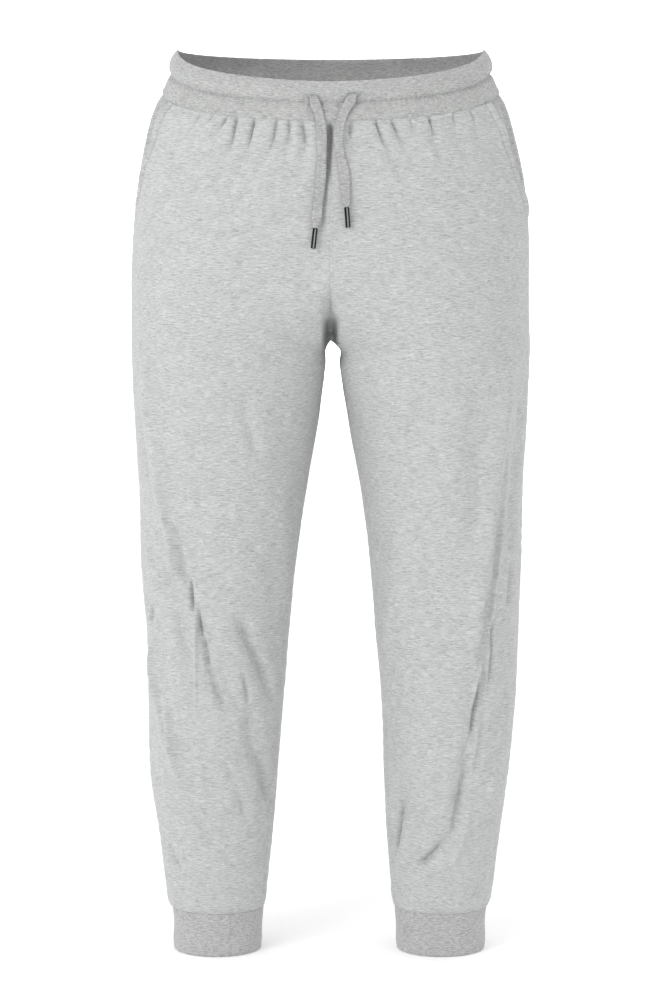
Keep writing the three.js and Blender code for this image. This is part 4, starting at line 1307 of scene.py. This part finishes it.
    def build(self, wardrobe: Wardrobe) -> bpy.types.Object:
        """Build the panel's shell and dress it."""
        form, side = self.form, self.side
        coarse = 1
        share = np.linspace(0, 1, self.across // coarse + 1)[None, :]
        rows = tuple(a[:, None] for a in self.stations())
        end = self.end_angle(rows[1])
        start = self.start_angle(self.row_height(rows, self.start_angle(rows[0]), end))
        height = self.row_height(rows, mix(start, end, share), end)
        free = mix(self.start_angle(height), self.end_angle(height), share)
        angle = np.where(np.isnan(rows[3]), free, mix(start, end, share))
        rise = self.lift(angle, height)
        outer = form.place(side, angle, height, rise)
        inner = form.place(side, angle, height, rise - form.jersey_wall)
        across = girth(form.smooth(side, angle, height))
        uv = np.stack([across + CLOTH_STARTS[self.face.value][side], height], axis=-1)
        flipped = (self.face is Face.BACK) != (side is Side.RIGHT)
        bulge = (0.8 if self.face is Face.FRONT else 0.0, 0.0)
        shell = Shell(outer, inner, uv, bulge, flipped=flipped, step=self.inner_step)
        made = shell.mesh(f"{self.face.value}_panel_{side.value}")
        dress(made, wardrobe.jersey, f"{self.face.value}_{side.value}")
        return made

    def _sew(self, stitching: Stitching, row: StitchRow, angle: Array, height: Array) -> None:
        """Lay a row of stitches on the panel, along some angles and heights."""
        line = self.form.place(self.side, angle, height, self.lift(angle, height))
        normal = turn_over(self.side, self.form.outward(self.side, angle, height))
        stitching.add(row, line, normal)

    def pocket_stitches(self, stitching: Stitching) -> None:
        """Sew the pocket opening's edge with two rows."""
        form, side = self.form, self.side
        top = form.side_waist_seam - 4.0
        height = np.linspace(top, form.pocket_foot(side) + 2.0, 160)
        for inset in (self.edge_inset, self.hem_width - 1.0):
            edge = form.pocket_angle(side, height)
            angle = edge + inset / form.degree_length(side, height, edge)
            keep = form.waist_seam(side, angle) - height > 2.0
            self._sew(stitching, StitchRow(), angle[keep], height[keep])

    def centre_stitches(self, stitching: Stitching) -> None:
        """Sew one row beside the centre front seam, down towards the crotch."""
        height = np.linspace(*self.centre_row, 90)
        edge = self.end_angle(height)
        angle = edge - self.centre_inset / self.form.degree_length(self.side, height, edge)
        self._sew(stitching, StitchRow(pitch=3.8, thread=0.5), angle, height)

    def cuff_stitches(self, stitching: Stitching) -> None:
        """Sew a row along the leg just above the cuff seam."""
        height = np.full(90, self.form.cuff_seam + self.cuff_row)
        angle = np.linspace(self.form.side_seam(self.side), self.end_angle(height)[0], 90)
        self._sew(stitching, StitchRow(pitch=2.6, thread=0.45), angle, height)


@dataclass(frozen=True)
class PocketFacing:
    """The strip of jersey that shows inside a slanted pocket opening."""

    form: Form
    side: Side
    wall: float = 1.4
    lap: float = 9.0
    step: float = 3.0
    sunk: float = 5.0
    depth: float = 9.0
    shut: float = 2.3
    side_ramp: float = 7.0
    foot_ramp: float = 90.0
    seam_groove: float = 0.9
    tail: float = 10.0
    rows: int = 61
    across: int = 22

    def build(self, wardrobe: Wardrobe) -> bpy.types.Object:
        """Build the facing: level with the back panel, then stepping down under the front."""
        form, side = self.form, self.side
        share = np.linspace(0, 1, self.across + 1)[None, :]
        foot = form.pocket_foot(side) - self.tail
        level = np.linspace(form.side_waist_seam, foot, self.rows)[:, None]
        seam = form.side_seam(side)
        angle = mix(seam, form.pocket_angle(side, level) + self.lap, share)
        sink = form.waist_seam(side, angle) - form.side_waist_seam
        sink = sink * smoothstep((level - foot) / self.foot_ramp)
        height = level + sink
        inside = angle - form.pocket_angle(side, height)
        to_side = (angle - seam) * form.degree_length(side, height, angle)
        under = mix(self.sunk, self.depth, smoothstep((inside + self.step) / self.step))
        under = under * smoothstep(to_side / self.side_ramp)
        under = mix(under, self.shut, climb(inside, self.step, self.lap))
        drop = form.waist_seam(side, angle) - height
        groove = self.seam_groove * (bell(to_side, 1.7) + bell(drop, 2.0))
        rise = form.cloth(side, Face.FRONT, angle, height) - under - groove
        outer = form.place(side, angle, height, rise)
        inner = form.place(side, angle, height, rise - self.wall)
        across = girth(form.smooth(side, angle, height))
        uv = np.stack([across + CLOTH_STARTS["facing"][side], height], axis=-1)
        shell = Shell(outer, inner, uv, flipped=side is Side.RIGHT)
        made = shell.mesh(f"pocket_strip_{side.value}")
        dress(made, wardrobe.band, f"pocket_facing_{side.value}")
        return made


@dataclass(frozen=True)
class Waistband:
    """Half of the doubled elastic waistband, from centre front round the side to the back."""

    form: Form
    side: Side
    height: float = 48.0
    front_loss: float = 6.0
    back_loss: float = 0.5
    lean_at_centre: float = 0.55
    channel: float = 0.47
    channel_reach: float = 0.14
    seam_share: float = 0.03
    seam_reach: float = 0.1
    seam_pucker: float = 0.7
    pucker: float = 1.0
    pucker_pitch: float = 7.2
    around: int = 240
    up: int = 40

    def sizes(self, turn: Array) -> tuple[Array, Array, Array]:
        """Return the seam's height, the band's height and its lean's share at some angles."""
        towards = np.abs(turn) / 90.0
        loss = np.where(turn > 0, self.front_loss, self.back_loss) * towards
        lean = mix(1.0, self.lean_at_centre, towards**2)
        return self.form.waist_seam(self.side, turn), self.height - loss, lean

    def place(
        self, turn: Array, share: Array, inner: bool = False, lift: float = 0.0
    ) -> tuple[Array, Array]:
        """Return points of a face and their outward direction.

        From the seam's point the face goes straight up, and leans in by the profile's
        lean. Small puckers run along the channel stitching and along the seam.
        """
        seam, tall, lean_share = self.sizes(turn)
        base = self.form.smooth(self.side, turn, seam)
        flat = unit(self.form.outward(self.side, turn, seam) * LEVEL)
        table = columns(BAND_COLUMNS, BAND_ROWS)
        lean = hermite(table["share"], table["lean"], share) * lean_share
        wall = hermite(table["share"], table["wall"], share)
        arc = turn * self.form.degree_length(self.side, seam, turn)
        near = bell(share - self.channel, self.channel_reach)
        near = near + self.seam_pucker * bell(share - self.seam_share, self.seam_reach)
        phase = arc * 2 * math.pi / self.pucker_pitch + 1.7 * np.sin(arc / 23.0)
        lean = lean + self.pucker * near * (1 - np.cos(phase)) / 2
        ruche = np.sin(arc / 3.1 + 2.2 * np.sin(arc / 17.0)) * np.sin(arc / 11.0 + 5 * share)
        lean = lean - (0.25 * np.sin(arc / 19.0 + 4 * share) + 0.22 * ruche) * np.sin(share * math.pi)
        out = -lean - (wall if inner else 0.0) + lift
        points = base + flat * out[..., None]
        points[..., 2] = seam + tall * share
        points[..., 0] = np.maximum(points[..., 0], 0.0)
        return turn_over(self.side, points), turn_over(self.side, flat)

    def build(self, wardrobe: Wardrobe) -> bpy.types.Object:
        """Build the half band, its top edge a rounded fold."""
        coarse = 1
        side = self.side
        seam = self.form.side_seam(side)
        around = self.around // coarse
        turn = np.concatenate([np.linspace(90, seam, around), np.linspace(seam, -90, around)[1:]])[:, None]
        share = np.linspace(0, 1, self.up + 1)[None, :]
        turn, share = np.broadcast_arrays(turn, share)
        outer, _ = self.place(turn, share)
        inner, _ = self.place(turn, share, inner=True)
        arc = np.cumsum(np.linalg.norm(np.diff(outer[:, :1, :2], axis=0), axis=-1), axis=0)
        arc = np.concatenate([np.zeros((1, 1)), arc], axis=0)
        uv = np.stack([arc + CLOTH_STARTS["band"][side] + 0 * share, share * self.height], axis=-1)
        shell = Shell(outer, inner, uv, bulge=(0.0, 0.9), flipped=side is Side.RIGHT, step=2)
        made = shell.mesh(f"elastic_band_{side.value}")
        dress(made, wardrobe.band, f"waistband_{side.value}")
        return made

    def stitches(self, stitching: Stitching) -> None:
        """Sew the drawstring's channel all round, outside and inside."""
        turn = np.linspace(89.6, -89.6, 900)
        for inner in (False, True):
            line, normal = self.place(turn, np.full_like(turn, self.channel), inner=inner)
            stitching.add(StitchRow(pitch=3.2), line, normal * (-1.0 if inner else 1.0))


@dataclass(frozen=True)
class Cuff:
    """A closed tube of doubled jersey at the foot of a leg."""

    form: Form
    side: Side
    around: int = 220
    down: int = 40
    seam_depth: float = 1.3
    seam_width: float = 1.2
    map_radius: float = 50.0

    def build(self, wardrobe: Wardrobe) -> bpy.types.Object:
        """Build the tube, with its vertical seam as a groove towards the inside of the leg."""
        form, side = self.form, self.side
        angle = (np.arange(self.around) / self.around * 360.0 - 180.0)[:, None]
        share = np.linspace(0, 1, self.down + 1)[None, :]
        angle, share = np.broadcast_arrays(angle, share)
        height = mix(form.cuff_seam, form.hem, share)
        table = columns(CUFF_COLUMNS, CUFF_ROWS)
        seam_angle = 109.0 if side is Side.RIGHT else 172.0
        length = form.degree_length(side, height, angle)
        groove = self.seam_depth * bell((angle - seam_angle) * length, self.seam_width)
        turn = np.radians(angle)
        rib = 0.12 * np.sin(turn * 61 + height / 9.0) + 0.2 * np.sin(turn * 5 + height / 17)
        inset = hermite(table["share"], table["outer"], share) + groove + rib * np.sin(share * math.pi)
        flat = unit(form.outward(side, angle, height) * LEVEL)
        base = form.smooth(side, angle, height)
        outer = turn_over(side, base - flat * inset[..., None])
        depth = hermite(table["share"], table["inner"], share)
        inner = turn_over(side, base - flat * depth[..., None])
        uv = np.stack([turn * self.map_radius + CLOTH_STARTS["cuff"][side], height], axis=-1)
        shell = Shell(outer, inner, uv, (0.0, 1.0), ring=True, flipped=side is Side.LEFT, step=2)
        made = shell.mesh(f"ankle_cuff_{side.value}")
        dress(made, wardrobe.cuff, f"cuff_{side.value}")
        return made


@dataclass(frozen=True)
class Drawstring:
    """One flat drawstring end of folded jersey, with its metal tip."""

    side: Side
    width: float = 10.5
    thickness: float = 3.0
    steps: int = 110
    sides: int = 28
    tip_length: float = 22.0
    tip_radius: float = 2.9
    gap: float = 0.3
    neck: float = 9.0
    squareness: float = 2.6
    tip_sides: int = 40
    tip_rings: int = 34

    def route(self) -> Array:
        """Return the centre line, in millimetres."""
        return centripetal(np.array(CORD_ROWS[self.side], dtype=float), self.steps)

    def frames(self, line: Array) -> tuple[Array, Array, Array]:
        """Return the directions along, across and out of the cord at each point."""
        along = unit(np.gradient(line, axis=0))
        level = np.array([1.0, 0.0, 0.0])
        across = unit(level - along * (along @ level)[:, None])
        return along, across, np.cross(along, across)

    def build(self, wardrobe: Wardrobe) -> bpy.types.Object:
        """The section is a flattened round, |x/a| and |y/b| to the power of its squareness, with
        a shallow groove along its middle where the tape is folded. It narrows into the tip.
        """
        side = self.side
        line = self.route()
        along, across, out = self.frames(line)
        length = run_length(line)
        left = length[-1] - length
        narrow = smoothstep(left / self.neck)
        pinch = 1 - 0.3 * bell(length, 5.0)
        half_width = mix(self.tip_radius * 0.95, self.width / 2, narrow) * pinch
        half_width = half_width * (1 + 0.05 * np.sin(length / 7.0 + 1.0))
        half_thick = mix(self.tip_radius * 0.85, self.thickness / 2, narrow)
        turn = circle_turns(self.sides)
        c, s = np.cos(turn), np.sin(turn)
        x = np.sign(c) * np.abs(c) ** (2 / self.squareness)
        y = np.sign(s) * np.abs(s) ** (2 / self.squareness)
        dent = 0.32 * bell(x - 0.25, 0.22) * narrow[:, None]
        ring_x = x[None, :] * half_width[:, None]
        ring_y = (y[None, :] - np.sign(y)[None, :] * dent) * half_thick[:, None]
        points = line[:, None] + across[:, None] * ring_x[..., None] + out[:, None] * ring_y[..., None]
        faces = tube_faces(self.steps, self.sides)
        run = np.broadcast_to(length[:, None], ring_x.shape)
        uv = np.stack([ring_x + CLOTH_STARTS["cord"][side], run], axis=-1).reshape(-1, 2)
        made = make_mesh(f"drawstring_tape_{side.value}", points.reshape(-1, 3), faces, uv)
        tip = self._tip(line[-1], along[-1], across[-1], wardrobe)
        dress(made, wardrobe.cord, f"drawstring_{side.value}")
        return made

    def _tip(self, end: Array, along: Array, across: Array, wardrobe: Wardrobe) -> bpy.types.Object:
        """Build the crimped tip: a round tube with rolled rims and a crimped groove in front."""
        t = np.linspace(0, 1, self.tip_rings)
        ends = np.sqrt(np.clip(1 - ((np.abs(t - 0.5) - 0.455) / 0.045).clip(0, 1) ** 2, 0, 1))
        rim = 0.06 * (bell(t - 0.05, 0.03) + bell(t - 0.95, 0.03))
        radius = self.tip_radius * (0.93 + rim) * mix(0.75, 1.0, ends)
        turn = circle_turns(self.tip_sides)
        out = np.cross(along, across)
        groove = bell(np.arctan2(np.sin(turn + 0.25), np.cos(turn + 0.25)), 0.16)
        inner_run = smoothstep((0.5 - np.abs(t - 0.5)) / 0.08)
        cut = 1 - 0.14 * groove[None, :] * inner_run[:, None]
        spread = radius[:, None] * cut
        spine = end + along * (self.gap + t[:, None] * self.tip_length)
        circle = np.cos(turn)[:, None] * out + np.sin(turn)[:, None] * across
        points = spine[:, None] + circle[None] * spread[..., None]
        # Painted light: painted dark reflections along both sides of the tube, and painted shade in the
        # crimped groove
        edge = smoothstep((np.abs(np.sin(turn)) - 0.2) / 0.3)
        shade = np.tile(np.clip(groove + edge, 0, 1), self.tip_rings)
        faces = tube_faces(self.tip_rings, self.tip_sides)
        name = f"drawstring_tip_{self.side.value}"
        made = make_mesh(name, points.reshape(-1, 3), faces, shade=shade)
        dress(made, wardrobe.tip, f"aglet_{self.side.value}")
        return made


@dataclass(frozen=True)
class Buttonhole:
    """The overcast slit in the band that a drawstring end comes out of."""

    band: Waistband
    turn: float
    share: float
    width: float = 13.0
    height: float = 5.0

    def sew(self, stitching: Stitching) -> None:
        """Lay two close rings of satin stitches round the slit."""
        seam, tall, _ = self.band.sizes(np.array([self.turn]))
        length = float(self.band.form.degree_length(self.band.side, seam, np.array([self.turn]))[0])
        around = np.linspace(0, 2 * math.pi, 120)
        for grow in (1.0, 1.22):
            turn = self.turn + grow * self.width / 2 * np.cos(around) / length
            share = self.share + grow * self.height / 2 * np.sin(around) / float(tall[0])
            line, normal = self.band.place(turn, share, lift=0.25)
            stitching.add(StitchRow(pitch=1.1, share=1.1, thread=0.9), line, normal)


# Studio


@dataclass(frozen=True)
class Studio:
    """The picture's camera, its soft light, brighter overhead, and its white floor."""

    camera_at: tuple[float, float, float] = (0.006, -2.9801, -0.1416)
    pitch: float = 6.6
    lens: float = 94.0
    floor_height: float = -1.0045
    world_low: float = 0.55
    world_high: float = 1.08
    sky_from: float = 0.4
    sky_to: float = 0.9
    key_power: float = 64.0
    key_at: tuple[float, float, float] = (-2.7, -3.1, 1.7)
    key_aim: tuple[float, float, float] = (0.0, 0.0, -0.45)
    key_size: float = 2.0
    ring_radius: float = 8.0
    ring_height: float = 3.6
    ring_sides: int = 96
    ring_glow: float = 0.78
    floor_glow: float = 0.14

    def camera(self) -> None:
        """Set the camera at the picture's angle."""
        data = bpy.data.cameras.new("picture_camera")
        data.lens = self.lens
        data.sensor_width = 36.0
        made = bpy.data.objects.new("picture_camera", data)
        made.location = self.camera_at
        made.rotation_euler = (math.radians(90 - self.pitch), 0.0, 0.0)
        bpy.context.scene.collection.objects.link(made)
        bpy.context.scene.camera = made

    def light(self) -> None:
        """Set a white sky, brighter overhead, and one large soft light from the viewer's left."""
        world = bpy.data.worlds.new("white_surround")
        world.use_nodes = True
        backdrop = world.node_tree.nodes["Background"]
        backdrop.inputs["Color"].default_value = (1.0, 1.0, 1.0, 1.0)
        tree = world.node_tree
        ways = add_node(tree, "ShaderNodeTexCoord").outputs["Generated"]
        up = add_node(tree, "ShaderNodeSeparateXYZ", {"Vector": ways}).outputs["Z"]
        limits = {"From Min": self.sky_from, "From Max": self.sky_to}
        limits |= {"To Min": self.world_low, "To Max": self.world_high}
        rise = add_node(tree, "ShaderNodeMapRange", {"Value": up}, limits, interpolation_type="SMOOTHSTEP")
        tree.links.new(rise.outputs["Result"], backdrop.inputs["Strength"])
        bpy.context.scene.world = world
        data = bpy.data.lights.new("key_light", "AREA")
        data.energy = self.key_power
        data.size = self.key_size
        made = bpy.data.objects.new("key_light", data)
        made.location = self.key_at
        aim = np.array(self.key_aim) - np.array(self.key_at)
        made.rotation_euler = (
            math.atan2(math.hypot(aim[0], aim[1]), -aim[2]),
            0.0,
            math.atan2(aim[1], aim[0]) - math.pi / 2,
        )
        bpy.context.scene.collection.objects.link(made)
        bpy.context.scene.view_settings.view_transform = "Standard"
        bpy.context.scene.view_settings.look = "None"

    def ground(self) -> None:
        """Lay a round white floor just under the hems, with a white wall all round it."""
        radius, level = self.ring_radius / MM, self.floor_height / MM
        turn = circle_turns(self.ring_sides)
        low = np.stack([radius * np.cos(turn), radius * np.sin(turn), 0 * turn + level], axis=1)
        floor = make_mesh("studio_floor", low, [np.arange(self.ring_sides)[None]])
        floor.data.materials.append(StudioWhite("floor_paper", self.floor_glow).material())
        index = np.arange(self.ring_sides)
        ahead = np.roll(index, -1)
        quads = np.stack([ahead, index, index + self.ring_sides, ahead + self.ring_sides], axis=1)
        high = low + np.array([0.0, 0.0, self.ring_height / MM])
        wall = make_mesh("studio_wall", np.concatenate([low, high]), [quads])
        wall.data.materials.append(StudioWhite("wall_paper", self.ring_glow).material())


@dataclass(frozen=True)
class Joggers:
    """The whole garment, piece by piece."""

    form: Form = Form()

    def build(self, wardrobe: Wardrobe) -> list[bpy.types.Object]:
        """Build the cords first, then the cloth and its stitching.

        Args:
            wardrobe: The finished materials.

        Returns:
            Every piece made.
        """
        made = [Drawstring(side).build(wardrobe) for side in Side]
        for side in Side:
            front = Panel(self.form, side, Face.FRONT)
            back = Panel(self.form, side, Face.BACK)
            band = Waistband(self.form, side)
            cloth = (front, back, PocketFacing(self.form, side), band, Cuff(self.form, side))
            made += [piece.build(wardrobe) for piece in cloth]
            seams = Stitching(f"jersey_stitches_{side.value}")
            front.pocket_stitches(seams)
            if side is Side.LEFT:
                front.centre_stitches(seams)
            front.cuff_stitches(seams)
            back.cuff_stitches(seams)
            made.append(seams.build(wardrobe, "jersey"))
            channel = Stitching(f"band_stitches_{side.value}")
            band.stitches(channel)
            turn, share = (82.6, 0.66) if side is Side.LEFT else (84.4, 0.62)
            Buttonhole(band, turn, share).sew(channel)
            made.append(channel.build(wardrobe, "band_jersey"))
        return made


def main() -> None:
    """Load the frame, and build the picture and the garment."""
    logging.basicConfig(level=logging.INFO, format="%(message)s")
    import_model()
    studio = Studio()
    studio.camera()
    pieces = Joggers().build(Wardrobe.sewn())
    studio.light()
    studio.ground()
    for piece in pieces:
        piece.data.calc_loop_triangles()
        log.info("%s: %d triangles", piece.name, len(piece.data.loop_triangles))


if __name__ == "__main__":
    main()
